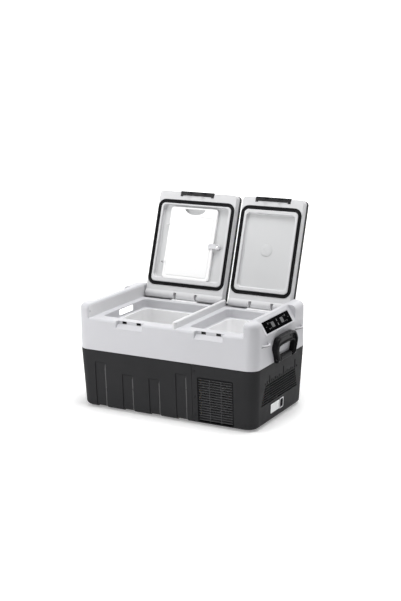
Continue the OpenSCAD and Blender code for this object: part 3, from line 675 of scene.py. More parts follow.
# ------------------------------------------------------------------ compartments
def tub(name, ox, floor, rep, lamp=False):
    b0 = (ox[0], ox[1], OY[0], OY[1])

    def g(d):
        return (b0[0] + d, b0[1] - d, b0[2] + d, b0[3] - d)
    rows = [(g(7.0), 29.0, floor - 2.4), (g(5.6), 30.4, floor + 2), (g(5.6), 30.4, 268.0), (g(-2.2), 19.7, 268.5), (g(-2.3), 19.8, 299.8),
            (g(-2.0), 19.5, 300.5), (g(-0.9), 18.4, 300.8), (g(0.0), 17.5, 300.2), (g(0.3), 17.2, 299.0), (g(0.3), 17.2, 274.6)]
    for a in (20, 45, 70, 90):          # cove into the ledge
        t = math.radians(a)
        rows.append((g(0.3 + 3.4 * (1 - math.cos(t))), 17.2 - 3.4 * (1 - math.cos(t)) * 0.2, 274.6 - 3.4 * math.sin(t)))
    rows.append((g(5.6), 19.5, 271.0))
    for a in (30, 60, 90):              # ledge rounds over into the lower well
        t = math.radians(a)
        rows.append((g(5.6 + 2.4 * math.sin(t)), 22.5, 271.0 - 2.4 * (1 - math.cos(t))))
    d0 = 8.0
    rows.append((g(d0 + 0.2), 27.8, 255.0))
    rows.append((g(d0 + 1.2), 28.0, floor + 14.0))
    for a in (15, 30, 45, 60, 75, 90):
        t = math.radians(a)
        rows.append((g(d0 + 1.2 + 14 * (1 - math.cos(t))), 28.0 - 6 * (1 - math.cos(t)), floor + 14.0 - 14 * math.sin(t)))
    rows.append((g(d0 + 40), 12.0, floor + 0.05))
    o = nest(name, rows, n=10)
    if lamp:
        cut(o, block("w", ox[0] - 6, ox[0] + 6, -41.3, 43.3, 278.7, 297.3))
    for p in o.data.polygons:
        p.material_index = 1 if p.center.z > 270.6 else 0
    return put(o, ["liner_white", "grey_shell"], "cabinet", rep)


tub("deep_compartment_liner", OPEN_L, 42.0, "liner_deep", True)
tub("shallow_compartment_liner", OPEN_R, 186.0, "liner_shallow")


def lamp():
    x = OPEN_L[0]
    h = block("lamp_housing_shell", x - 9, x - 2.6, -41, 43, 279, 297, 0.6, 2)
    cut(h, block("c", x - 6.5, x + 2, -38, 40, 281, 295))
    put(h, "grey_plastic", "cabinet", "lamp_housing")
    lens = tower("lamp_lens_cover", rr(-41, 43, 279, 297, 2.2, 5), "x", [(0.0, x - 2.4), (0.0, x + 0.3), (0.5, x + 1.0), (1.4, x + 1.2)])
    body = block("c", x - 6.4, x - 1.5, -37.8, 39.8, 281.2, 294.8)
    join(lens, body)
    put(lens, "lens_white", "cabinet", "lamp_lens")


lamp()


# ------------------------------------------------------------------ control panel
def console():
    # frame: raised border, flat field, window for the glass
    o = loft("panel_frame", [[(x, y, z) for x, y in rr(-24 + i, 23.5 - i, -106 + i, 106 - i, max(5 - i, 1.0), 6)]
                             for i, z in ((0.6, 0.0), (0.0, 0.3), (0.0, 0.9), (0.5, 1.5), (1.4, 1.75), (2.3, 1.5), (2.8, 1.0), (3.6, 1.0))], cap0=True, cap1=True)
    cut(o, prism("w", rr(-19.2, 19.2, -94.2, 94.2, 1.5, 4), "z", 0.3, 6))
    put(o, "grey_shell", "cabinet", "panel_bezel", m=CONSOLE_P)
    gl = loft("panel_glass_sheet", [[(x, y, z) for x, y in rr(-19 + i, 19 - i, -94 + i, 94 - i, 1.2, 4)] for i, z in ((0, 0.4), (0, 1.5), (0.35, 1.9), (0.9, 2.05))])
    cuts = [prism("w", rr(-9, 9, s * 33 - 10, s * 33 + 10, 0.8, 3), "z", 1.55, 6) for s in (-1, 1)]
    cut(gl, *cuts)
    put(gl, "panel_black", "cabinet", "panel_glass", m=CONSOLE_P)
    ds = [loft("d", [[(x, y, z) for x, y in rr(-9 + i, 9 - i, s * 33 - 10 + i, s * 33 + 10 - i, 0.8, 3)] for i, z in ((0.1, 1.5), (0.1, 1.85), (0.4, 2.02))]) for s in (-1, 1)]
    put(merge("panel_display_windows", ds), "display_grey", "cabinet", "panel_displays", m=CONSOLE_P)
    # touch marks: plain dots, bars, chevrons and rings, no letters
    marks = []

    def flat(pts):
        marks.append(prism("k", pts, "z", 1.95, 2.16))

    def ring(x, y, r0, r1, n=20):
        a = tower("k", disc(r1, n, x, y), "z", [(0, 1.95), (0, 2.16)])
        cut(a, tower("k", disc(r0, n, x, y), "z", [(0, 1.8), (0, 2.4)]))
        marks.append(a)
    for e in (-1, 1):               # a group at each end of the glass
        ring(-8.6, e * 62, 1.9, 2.6)
        flat(rr(-12.6, -9.2, e * 62 - 0.35, e * 62 + 0.35, 0.3, 2))
        flat([(6.4, e * 62 - 2.2), (10.4, e * 62 - 2.2), (8.4, e * 62 + 1.6)] if e < 0 else [(6.4, 60.4), (8.4, 64.2), (10.4, 60.4)][::-1])
        flat(rr(-10.0, -8.6, e * 52 - 1.8, e * 52 + 1.8, 0.5, 2))
        flat(rr(8.0, 9.2, e * 52 - 2.2, e * 52 + 2.2, 0.5, 2))
        flat(rr(-0.5, 0.5, e * 78 - 2.4, e * 78 + 2.4, 0.4, 2))
    flat(rr(-11.0, -2.6, -1.5, 1.5, 0.6, 3))     # bars between the displays
    flat(rr(2.6, 11.0, -1.5, 1.5, 0.6, 3))
    put(merge("panel_touch_marks", marks), "symbol_white", "cabinet", m=CONSOLE_P)


console()


# ------------------------------------------------------------------ outside fittings
def loops():
    parts = []
    sec = [(3.3 * math.cos(math.radians(a)), 3.1 * math.sin(math.radians(a))) for a in range(195, 555, 30)]
    for s in (1, -1):
        for yc in (-124, 125):
            rings = []
            a1 = math.degrees(math.acos(15.0 / 26.3))
            for k in range(25):
                t = math.radians(-a1 - 3 + (2 * a1 + 6) * k / 24)
                rings.append([(s * (304.7 + (26.3 + u) * math.cos(t)), yc + (26.3 + u) * math.sin(t), 268.5 + v) for u, v in sec])
            parts.append(loft("t", rings))
            # feet moulded on to the wall
            for e in (-1, 1):
                y = yc + e * 21.4
                f = loft("t", [[(s * (319.6 + q), y + yy, 268.5 + zz) for yy, zz in rr(-5.8 + i, 5.8 - i, -4.8 + i, 4.8 - i, 2.4, 4)] for q, i in ((0, 0), (1.0, 0), (2.2, 1.2), (2.6, 2.2))])
                parts.append(f)
    o = merge("strap_loops", parts)
    by_place(o, lambda c, n: c.z < 268.6 and n.z < 0.35 and c.z < 267.9)        # painted shade: the lower faces of each loop get a dark copy of the grey, standing in for shade under the rod
    put(o, ["grey_plastic", "loop_shade"], "cabinet", "tie_down_loops")


def keepers():
    ks = []
    for c in (LATCH_L, LATCH_R):
        for s in (-1, 1):
            k = block("k", c + s * 26 - 7.9, c + s * 26 + 7.9, -173.9, -164.6, 291.6, 299.3)
            cut(k, block("k", c + s * 26 - 6.3, c + s * 26 + 6.3, -176, -165.6, 293, 297.9))
            ks.append(k)
    put(merge("latch_keeper_cups", ks), "black_plastic", "cabinet", "latch_keepers")


def hinges():
    for nm, c in (("left", HINGE_L), ("right", HINGE_R)):
        # plate over the deck edge, leg and foot, one folded strip
        pts = fillet([(139.5, 301.05), (139.5, 303.2), (155.6, 303.2), (156.6, 301.9), (158, 301.8), (158, 289), (187, 289), (187, 286.05), (157.05, 286.05), (157.05, 301.05)],
                     [0.1, 1.0, 0.8, 0.4, 0.6, 1.2, 1.0, 0.3, 0.1, 0.1], 4)
        o = prism("hinge_plate_" + nm, pts, "x", c - 48, c + 48)
        arms = []
        for s in (-1, 1):
            q = [(163, 287), (173, 287), (174, 300)] + [(HY + 6 * math.cos(math.radians(a)), HZ + 6 * math.sin(math.radians(a))) for a in range(-8, 189, 14)] + [(162.2, 300)]
            arms.append(bevel(prism("h", q, "x", c + s * 40 - 4.5, c + s * 40 + 4.5), 0.7, 2, 50, lambda a, b: abs(a.x - b.x) < 0.01))
        join(o, *arms)
        cuts = [turned("h", "x", HY, HZ, [(2.52, c - 70), (2.52, c + 70)], 32)]
        for s in (-1, 1):
            cuts.append(turned("h", "z", c + s * 20, 182, [(1.7, 280), (1.7, 287.4), (3.1, 289.1), (3.1, 292)], 24))
        cut(o, *cuts)
        bevel(o, 0.5, 2, 60, lambda a, b: abs(a.x - b.x) < 0.01 and abs(abs(a.x - c) - 48) < 0.01 and max(a.z, b.z) > 290)
        put(o, "hinge_white", "cabinet", "hinge_base_" + nm)


loops()
keepers()
hinges()


def screw(name, x, y, z, axis, r, h, sgn=1):
    """pan head with a cross recess; the head grows from z0 along sgn"""
    prof = [(r * 0.98, 0), (r, 0.25 * h), (r * 0.86, 0.7 * h), (r * 0.55, 0.95 * h), (0.01, h)]
    u, v, w = {"x": (y, z, x), "y": (x, z, y), "z": (x, y, z)}[axis]
    o = turned(name, axis, u, v, [(a, w + sgn * b) for a, b in prof], 32)
    cuts = []
    for k in (0, 1):
        du, dv = (r * 0.62, r * 0.14) if k == 0 else (r * 0.14, r * 0.62)
        q = [(u - du, v - dv), (u + du, v - dv), (u + du, v + dv), (u - du, v + dv)]
        cuts.append(prism("c", q, axis, w + sgn * 0.42 * h, w + sgn * 2 * h))
    return cut(o, *cuts)


def fittings():
    ss = []
    for z in (28, 91, 175):
        s = screw("s", 109, 0.62, z, "y", 3.5, 1.5, -1)
        sh = rod("s", "y", 109, z, 1.5, 0.0, 8.0, 0.3, 20)
        join(s, sh)
        ss.append(place(s, FRONT))
    put(merge("cover_screw_set", ss), "screw_dark", "cabinet", "cover_screws")
    # inlet
    o = tower("power_inlet_body", rr(-3.4, 25.9, 29.6, 63.4, 3, 5), "x", [(0, 0.15), (0, 1.0), (0.5, 1.5), (1.0, 1.6)])
    join(o, prism("b", rr(-1.0, 23.5, 32, 61, 1.6, 3), "x", -24, 0.4))
    cut(o, tower("b", fillet([(0.4, 33.4), (22.0, 33.4), (22.0, 59.6), (0.4, 59.6)], [1, 1, 5.0, 5.0], 4), "x", [(0, -16), (0, 0.9), (-0.7, 1.7), (-0.7, 4)]))
    by_place(o, lambda c, n: c.x < 1.0 and 0.2 < c.y < 22.2 and 33.2 < c.z < 59.8)
    put(o, ["grey_plastic", "socket_dark"], "cabinet", "power_inlet", m=WALL)
    pl = tower("blank_rating_plate", rr(-67, -6, 31.5, 61.7, 2.2, 5), "x", [(0, 0.05), (0, 0.6), (0.35, 0.95)])
    cuts = [turned("b", "x", y, 46.6, [(1.3, 0.45), (1.3, 2)], 20) for y in (-63.4, -9.6)]
    cut(pl, *cuts)
    put(pl, "label_white", "cabinet", "inlet_plate", m=WALL)


fittings()


# ------------------------------------------------------------------ carrying handles
OUT = [(-50, 279), (50, 279), (62, 274), (70, 266), (79, 251), (79, 240), (72, 224), (64, 206), (64, 150),
       (-64, 150), (-64, 206), (-72, 224), (-79, 240), (-79, 251), (-70, 266), (-62, 274)]
WIN = [(-50, 249), (50, 249), (57, 243), (57, 236), (50, 216), (48, 200), (48, 130), (-48, 130), (-48, 200), (-50, 216), (-57, 236), (-57, 243)]
DISH = [(-46, 271), (46, 271), (55, 267), (62, 260), (70, 248), (70, 241), (63.5, 225), (56, 208), (56, 140),
        (-56, 140), (-56, 208), (-63.5, 225), (-70, 241), (-70, 248), (-62, 260), (-55, 267)]


def smooth_outline(pts, passes=2):
    """rounds an outline by cutting its corners over and over"""
    for _ in range(passes):
        out = []
        for i, p in enumerate(pts):
            a = pts[(i + 1) % len(pts)]
            out += [(p[0] * 0.75 + a[0] * 0.25, p[1] * 0.75 + a[1] * 0.25), (p[0] * 0.25 + a[0] * 0.75, p[1] * 0.25 + a[1] * 0.75)]
        pts = out
    return pts


def handle(side):
    m = MIRROR if side == "left" else None
    out = smooth_outline(OUT, 3)
    # crowned plate: rounded over front and back edges
    rows = [(3.0, 320.6), (1.0, 321.4), (0.0, 323.2), (0.0, 335.0)] + \
           [(6 - 6 * math.cos(math.radians(a)), 335 + 6 * math.sin(math.radians(a))) for a in (15, 30, 45, 60, 75, 90)]
    o = tower("carry_handle_" + side, out, "x", rows)
    # dished face inside the rim
    dish = smooth_outline(DISH, 2)
    cut(o, tower("c", dish, "x", [(1.4, 332.6), (0.3, 333.4), (0.0, 335), (0.0, 338.6), (-1.6, 341.6), (-2.6, 344)]))
    # window with a raised lip
    win = smooth_outline(WIN, 2)
    lip = tower("c", inset(win, -4.2), "x", [(0, 325), (0, 336.4), (0.6, 337.2), (1.4, 337.4)])
    boole(lip, [tower("c", inset(out, 0.3), "x", [(0, 300), (0, 360)])], "INTERSECT")
    join(o, lip)
    cut(o, tower("c", win, "x", [(-1.2, 300), (-1.2, 320.6), (0, 322), (0, 335.6), (-0.4, 336.6), (-1.4, 337.4), (-1.4, 360)]))
    # arms: two stiffening ribs in the dish
    ribs = []
    for s in (-1, 1):
        for k, (z0, z1) in enumerate(((214, 238), (214, 234))):
            ribs.append(block("c", 331.5, 336.6, s * (62.4 + 3.4 * k) - 0.6, s * (62.4 + 3.4 * k) + 0.6, z0, z1, 0.3, 2))
    # feet rounded about the pivot, pin bores, screw wells, finger hollow
    prof = [(300, 110), (360, 110), (360, 206), (339.4, 206)] + arc(330, 206, 9.4, 0, -180, 16)[1:] + [(300, 206)]
    cuts = [prism("c", prof, "y", -90, 90)]
    for s in (-1, 1):
        a0, a1 = sorted((s * 40, s * 70))
        cuts.append(turned("c", "y", 330, 206, [(3.05, a0), (3.05, a1)], 32))
        cuts.append(turned("c", "x", s * 32, 266, [(3.1, 326), (3.1, 350)], 28))
        cuts.append(turned("c", "x", s * 32, 266, [(4.3, 331.6), (4.3, 350)], 28))
    cuts.append(tower("c", rr(-44, 44, 240, 270, 9, 6), "x", [(0, 310), (0, 325.4), (1.6, 327)]))
    cut(o, *cuts)
    join(o, *ribs)
    put(o, "handle_black", "handle_" + side, "handle_" + side, m=m, ang=35)
    # screws down in the wells ride with the handle
    sc = [screw("s", 327.4, s * 32, 266, "x", 2.9, 1.6, 1) for s in (-1, 1)]
    if m is not None:
        for x in sc:
            place(x, m)
    put(merge("handle_screws_" + side, sc), "screw_dark", "handle_" + side)
    # hinge bar on the wall
    bar = fillet([(320.1, 197.6), (333.5, 197.6), (336, 200.5), (336, 210), (333, 213), (320.1, 213)], [0, 1, 2, 2.5, 2.5, 0], 4)
    b = prism("handle_bar_" + side, bar, "y", -39, 39)
    bevel(b, 0.8, 2, 50, lambda p, q: abs(p.y - q.y) < 0.01)
    lugs = [block("c", 320.1, 324, s * 42.5 - 3.5, s * 42.5 + 3.5, 200, 213, 0.8, 2) for s in (-1, 1)]
    join(b, *lugs)
    cuts = []
    for s in (-1, 1):
        a0, a1 = sorted((s * 20, s * 50))
        cuts.append(turned("c", "y", 330, 206, [(3.0, a0), (3.0, a1)], 32))
    cut(b, *cuts)
    put(b, "charcoal_shell", "cabinet", "handle_base_" + side, m=m)


handle("right")
handle("left")


# ------------------------------------------------------------------ lids
def lid(side, L, latch_c, hinge_c, rec, mat):
    x0, x1 = L
    so = (x0 + 6, x1 - 6, -156, 137)
    si = (x0 + 16, x1 - 16, -146, 127)
    rx0, rx1, ry0, ry1, rd = rec
    out = (x0, x1, LY0, LY1)

    def ins(b, d):
        return (b[0] + d, b[1] - d, b[2] + d, b[3] - d)
    rows = [(ins(out, 4.0), 10, COVER - 0.6), (ins(out, 1.8), 12.2, COVER - 0.5), (ins(out, 1.3), 12.7, COVER - 1.1), (ins(out, 1.6), 12.4, LP + 2.8)]
    for a in (22.5, 45, 67.5, 90):                       # soft outer edge
        t = math.radians(a)
        rows.append((ins(out, 1.6 + 2.8 * (1 - math.cos(t))), 12.4 - 2.8 * (1 - math.cos(t)), LP + 2.8 - 2.8 * math.sin(t)))
    rows += [(ins(so, -0.7), 25.7, LP), (ins(so, -0.2), 25.2, LP + 0.4), (so, 25, LP + 1.0), (so, 25, LP + 3.0), (si, 15, LP + 3.0), (si, 15, LP + 0.6)]
    rows += [(ins(si, 0.3), 14.7, LP - 0.5), (ins(si, 1.3), 13.9, LP - 1.3), (ins(si, 2.6), 13.4, LP - 1.5)]
    # ridge runs on to the recess edge, rounds over and goes down to the floor
    e = 3.0
    wall = (rx0, rx1, ry0, ry1)
    rows.append((ins(wall, -e), 14 + e, LP - 1.5) if min(wall[0] - si[0], si[1] - wall[1], wall[2] - si[2], si[3] - wall[3]) > e + 2.8
                else (ins(wall, -1.2), 15.2, LP - 1.5))
    for a in (30, 60, 90):
        t = math.radians(a)
        rows.append((ins(wall, 1.4 * math.sin(t)), 14 - 1.0 * math.sin(t), LP - 1.5 + 1.6 * (1 - math.cos(t))))
    rows.append((ins(wall, 1.8), 13, LP + rd - 4.0))
    for a in (22.5, 45, 67.5, 90):
        t = math.radians(a)
        rows.append((ins(wall, 1.8 + 4 * (1 - math.cos(t))), 13 - 4 * (1 - math.cos(t)) * 0.6, LP + rd - 4 + 4 * math.sin(t)))
    rows.append((ins(wall, 30), 10, LP + rd + 0.02))
    o = nest("lid_inner_" + side, rows, n=10)
    cuts = []
    # rear edge rolled round the hinge line
    rb = 15.5
    pts = [(174.0, 298)] + [(HY + rb * math.cos(math.radians(a)), HZ - rb * math.sin(math.radians(a))) for a in range(67, -1, -6)] + [(200, HZ), (200, 298)]
    cuts.append(prism("c", pts, "x", x0 - 5, x1 + 5))
    cut(o, *cuts)
    roll = turned("c", "x", HY, HZ, [(rb - 3.2, x0 + 2.0), (rb - 2.0, x0 + 2.3), (rb - 0.9, x0 + 3.2), (rb - 0.2, x0 + 4.8), (rb, x0 + 6.5),
                                     (rb, x1 - 6.5), (rb - 0.2, x1 - 4.8), (rb - 0.9, x1 - 3.2), (rb - 2.0, x1 - 2.3), (rb - 3.2, x1 - 2.0)], 72)
    join(o, roll)
    # hinge slots and latch notch
    cuts = [block("c", hinge_c + s * 40 - 5, hinge_c + s * 40 + 5, HY - 7, 210, LP - 9, HZ + 11) for s in (-1, 1)]
    cuts.append(block("c", latch_c - 64.5, latch_c + 64.5, -200, -179.5, LP - 6, 327))
    cut(o, *cuts)
    bevel(o, 0.8, 2, 45, lambda a, b: a.y < -179 and b.y < -179 and abs(a.x - latch_c) < 64.7 and abs(b.x - latch_c) < 64.7)
    cuts = [turned("c", "x", HY, HZ, [(2.6, hinge_c - 66), (2.6, hinge_c + 66)], 32),
            turned("c", "x", -185, 322, [(1.55, latch_c - 67.5), (1.55, latch_c + 67.5)], 24)]
    cut(o, *cuts)
    if side == "left":
        boss = turned("c", "z", -20, -8, [(9.5, LP + 14), (8.6, LP + 11), (8.2, LP + 3), (7.6, LP + 2)], 40)
        tabs = [block("c", -226, -214, y - 3, y + 3, LP + 0.6, LP + 1.8, 0.4, 2) for y in (-73, 59)] + [block("c", -226, -221, y - 3, y + 3, LP + 0.6, LP + 14, 0.4, 2) for y in (-73, 59)]
        join(o, boss, *tabs)
        cut(o, turned("c", "z", -20, -8, [(2.0, LP - 3), (2.0, LP + 20)], 24))
    by_place(o, lambda c, n: rx0 - 1 < c.x < rx1 + 1 and ry0 - 1 < c.y < ry1 + 1 and c.z > LP + rd - 0.5)
    put(o, [mat, "recess_grey"], "lid_" + side, "lid_%s_liner" % side, m=OPENED)

    # dark outer cover with a skirt and a raised field
    rows = [(ins(out, 3.0), 11, COVER + 0.2), (ins(out, 1.2), 12.8, COVER + 0.15), (ins(out, 1.15), 12.85, COVER - 4.1), (ins(out, 0.8), 13.2, COVER - 4.5),
            (ins(out, 0.3), 13.7, COVER - 4.3), (out, 14, COVER - 3.7), (out, 14, 339.0)]
    for a in (15, 30, 45, 60, 75, 90):
        t = math.radians(a)
        rows.append((ins(out, 6 * (1 - math.cos(t))), 14 - 6 * (1 - math.cos(t)) * 0.5, 339 + 6 * math.sin(t)))
    rows += [(ins(out, 16), 16, 345.0), (ins(out, 17.5), 15.5, 344.3), (ins(out, 20.0), 15, 343.9), (ins(out, 22.5), 14, 344.3), (ins(out, 24), 13, 344.9), (ins(out, 60), 10, 344.95)]
    c = nest("lid_outer_" + side, rows, n=10)
    inner = nest("c", [(ins(out, 3), 11, COVER - 2), (ins(out, 3), 11, 341.4)], n=8)
    cut(c, inner)
    put(c, "lid_black", "lid_" + side, "lid_%s_cover" % side, m=OPENED)

    # seal: two ridges on a soft bulb, with a joint at the back
    prof = [(0.15, LP + 2.9), (0.15, LP - 0.04), (-1.9, LP - 0.04), (-2.2, LP - 0.5), (-1.7, LP - 1.3), (-0.6, LP - 2.05), (0.8, LP - 2.35), (2.2, LP - 2.1), (3.4, LP - 1.1), (4.5, LP - 0.6),
            (5.6, LP - 1.1), (6.6, LP - 2.1), (7.6, LP - 2.45), (8.7, LP - 2.0), (9.5, LP - 0.9), (9.85, LP + 0.3), (9.85, LP + 2.9)]
    s = nest("lid_seal_ring_" + side, [(ins(so, i), 25 - i, z) for i, z in prof], n=14, wrap=True)
    jx = 0.5 * (x0 + x1) + (2 if side == "left" else -2)
    cut(s, block("c", jx - 0.7, jx + 0.7, 120, 140, LP - 4, LP + 1.0))
    put(s, "rubber_black", "lid_" + side, "lid_%s_seal" % side, m=OPENED, ang=40)


lid("left", LID_L, LATCH_L, HINGE_L, (-250, 4, -142, 114, 12.0), "lid_grey")
lid("right", LID_R, LATCH_R, HINGE_R, (70, 249, -135, 117, 8.0), "lid_grey")


def inside_lid_left():
    b = (-218, -38, -135, 113)

    def ins(d):
        return (b[0] + d, b[1] - d, b[2] + d, b[3] - d)
    rows = [(ins(1.6), 10.4, LP + 11.9), (ins(0.4), 11.6, LP + 11.2), (b, 12, LP + 10.2), (b, 12, LP + 5.0)]
    for a in (22.5, 45, 67.5, 90):
        t = math.radians(a)
        rows.append((ins(2.6 * (1 - math.cos(t))), 12 - 2.6 * (1 - math.cos(t)), LP + 4.6 - 2.6 * math.sin(t)))
    rows.append((ins(20), 6, LP + 2.0))
    o = nest("cutting_board_slab", rows, n=10)
    # juice groove, open at the finger hole
    g0, g1 = (-211, -45, -104, 106), (-205.4, -50.6, -98.4, 100.4)
    groove = nest("c", [(g0, 9, LP - 1), (g0, 9, LP + 2.0), ((-210.2, -45.8, -103.2, 105.2), 8.2, LP + 2.9), ((-208.2, -47.8, -101.2, 103.2), 6.5, LP + 3.5),
                        ((-206.2, -49.8, -99.2, 101.2), 5.0, LP + 2.9), (g1, 4.2, LP + 2.0), (g1, 4.2, LP - 1)], n=8, wrap=True)
    # half-moon finger hole
    cx, cy, r = -125.0, -96.0, 42.0
    ya, yb = -130.0, -112.0
    arc_pts = []
    for k in range(25):
        x = -162 + 74 * k / 24
        d = r * r * 1.0 - (x - cx) ** 2 * 0.62
        arc_pts.append((x, ya + 0.0))
    hole = [(-164, -129.5), (-86, -129.5)] + [(cx + 39 * math.cos(math.radians(a)), -129.5 + 19.5 * math.sin(math.radians(a))) for a in range(9, 175, 9)]
    hole = fillet(hole, [4, 4] + [0] * (len(hole) - 2), 4)
    cut(o, groove, prism("c", hole, "z", LP - 5, LP + 20))
    bevel(o, 1.2, 3, 50, lambda p, q: -168 < p.x < -82 and -168 < q.x < -82 and p.y < -108 and q.y < -108 and p.y > -131 and q.y > -131)
    # crescent relief line under the hole that sweeps up to the corner
    cres = []
    for k in range(33):
        a = math.radians(182 - 184 * k / 32)
        cres.append((cx - 2 + 50 * math.cos(a), -126.0 + 27 * math.sin(a)))
    rings = []
    for k, (x, y) in enumerate(cres):
        p0, p1 = cres[max(k - 1, 0)], cres[min(k + 1, 32)]
        t = Vector((p1[0] - p0[0], p1[1] - p0[1])).normalized()
        nx, ny = -t.y, t.x
        w = 0.9 * min(1.0, 0.25 + min(k, 32 - k) / 6)
        rings.append([(x + nx * w * c, y + ny * w * c, LP + 2.0 + h * w) for c, h in ((-1, -0.6), (-0.5, 0.35), (0, 0.7), (0.5, 0.35), (1, -0.6))])
    cut(o, loft("c", rings))
    put(o, "board_white", "lid_left", "cutting_board", m=OPENED)

    # clip lever with its screw
    lev = [(-20 + 9 * math.cos(math.radians(a)), -8 + 9 * math.sin(math.radians(a))) for a in range(-100, 101, 10)]
    lev += [(-33, -0.6)] + [(-46 + 9 * math.cos(math.radians(a)), -8 + 9 * math.sin(math.radians(a))) for a in range(80, 281, 10)] + [(-33, -15.4)]
    c = tower("board_clip_lever", lev, "z", [(0.5, LP + 1.6), (0.0, LP + 1.2), (0.0, LP - 0.4), (0.5, LP - 1.1), (1.3, LP - 1.5), (2.2, LP - 1.6)])
    cut(c, turned("c", "z", -20, -8, [(3.05, LP - 4), (3.05, LP + 4)], 32), turned("c", "z", -20, -8, [(5.5, LP - 4), (5.5, LP - 1.2)], 32),
        tower("c", [(-46 + 4.5 * math.cos(a * math.pi / 12), -8 + 4.5 * math.sin(a * math.pi / 12)) for a in range(24)], "z", [(0, LP - 3), (0, LP - 1.3), (0.6, LP - 0.9)]))
    put(c, "clip_grey", "board_clip", "board_clip", m=OPENED)
    s = screw("clip_pivot_screw", -20, -8, LP - 1.25, "z", 5.2, 0.95, -1)
    join(s, rod("c", "z", -20, -8, 3.0, LP - 1.4, LP + 2.0, 0.1, 32), rod("c", "z", -20, -8, 2.0, LP + 1.5, LP + 12.9, 0.3, 24))
    put(s, "pin_steel", "lid_left", "clip_screw", m=OPENED)


def inside_lid_right():
    prof = [(0.01, LP + 8.0), (19.4, LP + 7.9), (20.0, LP + 7.6), (20.0, LP + 7.3), (19.4, LP + 6.7), (18.4, LP + 6.4), (17.4, LP + 6.6),
            (16.6, LP + 6.7), (15.6, LP + 6.3), (14.4, LP + 6.0), (8.0, LP + 5.7), (0.01, LP + 5.5)]
    o = turned("port_cap_disc", "z", 158, -13, prof, 72)
    cuts = [prism("c", rr(158 - 6.8, 158 - 5.8, -24, -2, 0.45, 3), "z", LP + 3, LP + 6.2), prism("c", rr(158 + 5.8, 158 + 6.8, -24, -2, 0.45, 3), "z", LP + 3, LP + 6.2)]
    cut(o, *cuts)
    put(o, "recess_grey", "lid_right", "port_cap", m=OPENED)


inside_lid_left()
inside_lid_right()


def latch(side, c):
    o = block("latch_lever_" + side, c - 63.8, c + 63.8, -189, -181, 302.6, 322, 1.2, 3)
    join(o, rod("c", "x", -185, 322, 4.0, c - 63.8, c + 63.8, 0.6, 32))
    extra = []
    for s in (-1, 1):
        hk = fillet([(-187, 303.5), (-187, 294.2), (-185.6, 293), (-183.4, 293.2), (-183, 294.6), (-183, 303.5)], [0, 1, 1, 0.8, 0.8, 0], 3)
        extra.append(bevel(prism("c", hk, "x", c + s * 26 - 5.5, c + s * 26 + 5.5), 0.5, 2, 60, lambda a, b: abs(a.x - b.x) < 0.01 and a.z < 303 and b.z < 303))
        a0, a1 = sorted((c + s * 53.8, c + s * 63.8))
        extra.append(block("c", a0, a1, -183, -171.2, 302.6, 303.8, 0.3, 2))
        # swell above each hook
        extra.append(nest("c", [((c + s * 26 - 11, c + s * 26 + 11, -188.4, -175.4), 5, 303.6), ((c + s * 26 - 11, c + s * 26 + 11, -188.4, -175.4), 5, 302.9), ((c + s * 26 - 10, c + s * 26 + 10, -187.4, -176.4), 4, 302.62)], n=6))
    extra.append(block("c", c - 54, c + 54, -183, -174.6, 302.6, 303.8, 0.3, 2))
    join(o, *extra)
    cuts = [turned("c", "x", -185, 322, [(1.55, c - 70), (1.55, c + 70)], 24),
            # finger dish on the outside and two lightening pockets on the inside
            tower("c", rr(c - 48, c + 48, 306, 316, 3, 4), "y", [(-0.6, -192), (0.0, -189), (1.0, -187.4)]),
            block("c", c - 16.5, c - 15.5, -182.2, -180, 304.4, 317), block("c", c + 15.5, c + 16.5, -182.2, -180, 304.4, 317),
            tower("c", rr(c - 38, c - 18, 305.5, 315, 1.5, 3), "y", [(0.8, -184.6), (0, -183.6), (0, -180)]),
            tower("c", rr(c + 18, c + 38, 305.5, 315, 1.5, 3), "y", [(0.8, -184.6), (0, -183.6), (0, -180)])]
    for s in (-1, 1):
        cuts.append(block("c", c + s * 53.2 - 0.6, c + s * 53.2 + 0.6, -182.4, -180, 304.2, 317))
    cut(o, *cuts)
    put(o, "latch_black", "latch_" + side, "latch_" + side, m=OPENED, ang=35)


latch("left", LATCH_L)
latch("right", LATCH_R)

# ------------------------------------------------------------------ finishes of the carried-over CAD nodes
SLOT_OF = {s["node"]: s["material_slot"] for s in frame["record"]["subparts"]}
for n, o in NODE.items():
    o.data.materials.clear()
    o.data.materials.append(M[SLOT_OF[n]])

# ------------------------------------------------------------------ stage
sweep = [(-16.0, 0.0), (4.0, 0.0)] + [(4.0 + 3.0 * math.sin(math.radians(a)), 3.0 - 3.0 * math.cos(math.radians(a))) for a in range(6, 91, 6)] + [(7.0, 12.0)]
fl = bpy.data.meshes.new("floor")
fl.from_pydata([(x, y, z) for y, z in sweep for x in (-16.0, 16.0)], [], [(2 * i, 2 * i + 1, 2 * i + 3, 2 * i + 2) for i in range(len(sweep) - 1)])
fl.polygons.foreach_set("use_smooth", [True] * len(fl.polygons))
floor = link(fl, "floor")
fm, nt, fb, fobj = base_nodes("floor_paper")
nt.links.new(tone(nt, noise(nt, fobj, 3.0), (0.90, 0.90, 0.90), (0.93, 0.93, 0.93)), fb.inputs["Base Color"])
fb.inputs["Roughness"].default_value = 0.9
fb.inputs["Specular IOR Level"].default_value = 0.1
fb.inputs["Emission Color"].default_value = (1, 1, 1, 1)
sx = nt.nodes.new("ShaderNodeSeparateXYZ")
nt.links.new(fobj, sx.inputs[0])
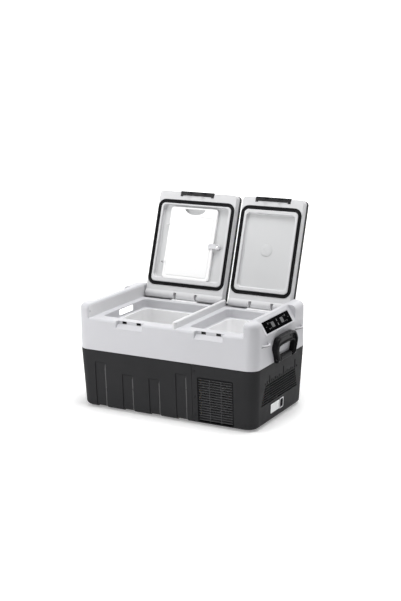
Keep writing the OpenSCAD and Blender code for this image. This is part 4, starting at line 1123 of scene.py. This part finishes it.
far = nt.nodes.new("ShaderNodeMapRange")            # the sweep glows more towards the back
far.inputs["From Min"].default_value = 0.6
far.inputs["From Max"].default_value = 4.0
far.inputs["To Min"].default_value = 0.25
far.inputs["To Max"].default_value = 0.95
nt.links.new(sx.outputs["Y"], far.inputs["Value"])
nt.links.new(far.outputs[0], fb.inputs["Emission Strength"])
fl.materials.append(fm)

w = bpy.data.worlds.new("studio")
SCN.world = w
w.use_nodes = True
bg = w.node_tree.nodes["Background"]
bg.inputs[0].default_value = (1, 1, 1, 1)
bg.inputs[1].default_value = 0.27


def lamp_area(name, at, to, size, watts, size_y=None):
    d = bpy.data.lights.new(name, "AREA")
    d.energy = watts
    d.size = size
    if size_y:
        d.shape = "RECTANGLE"
        d.size_y = size_y
    o = bpy.data.objects.new(name, d)
    SCN.collection.objects.link(o)
    o.location = at
    o.rotation_euler = (Vector(to) - Vector(at)).to_track_quat("-Z", "Y").to_euler()
    return o


lamp_area("key", (-1.9, -2.8, 2.2), (0, 0, 0.25), 1.0, 19)
lamp_area("top", (0.30, -0.1, 3.2), (0, 0, 0.3), 1.3, 74)
lamp_area("strip", (-2.2, -1.9, 0.9), (0, 0, 0.2), 0.30, 20, 1.8)

# a dark flag on the right keeps the floor's glow off that end
flag = bpy.data.meshes.new("flag")
flag.from_pydata([(1.15, -0.65, 0.0), (1.15, 1.5, 0.0), (1.15, 1.5, 0.40), (1.15, -0.65, 0.40)], [], [(0, 1, 2, 3)])
flag_o = link(flag, "flag")
gm, nt, gb, gobj = base_nodes("flag_cloth")
nt.links.new(tone(nt, noise(nt, gobj, 40.0), (0.02, 0.02, 0.02), (0.03, 0.03, 0.03)), gb.inputs["Base Color"])
gb.inputs["Roughness"].default_value = 0.95
gb.inputs["Specular IOR Level"].default_value = 0.0
flag.materials.append(gm)
flag_o.visible_camera = False

SCN.view_settings.view_transform = "Standard"
SCN.view_settings.look = "None"
SCN.view_settings.exposure = 0.0
SCN.view_settings.gamma = 1.0
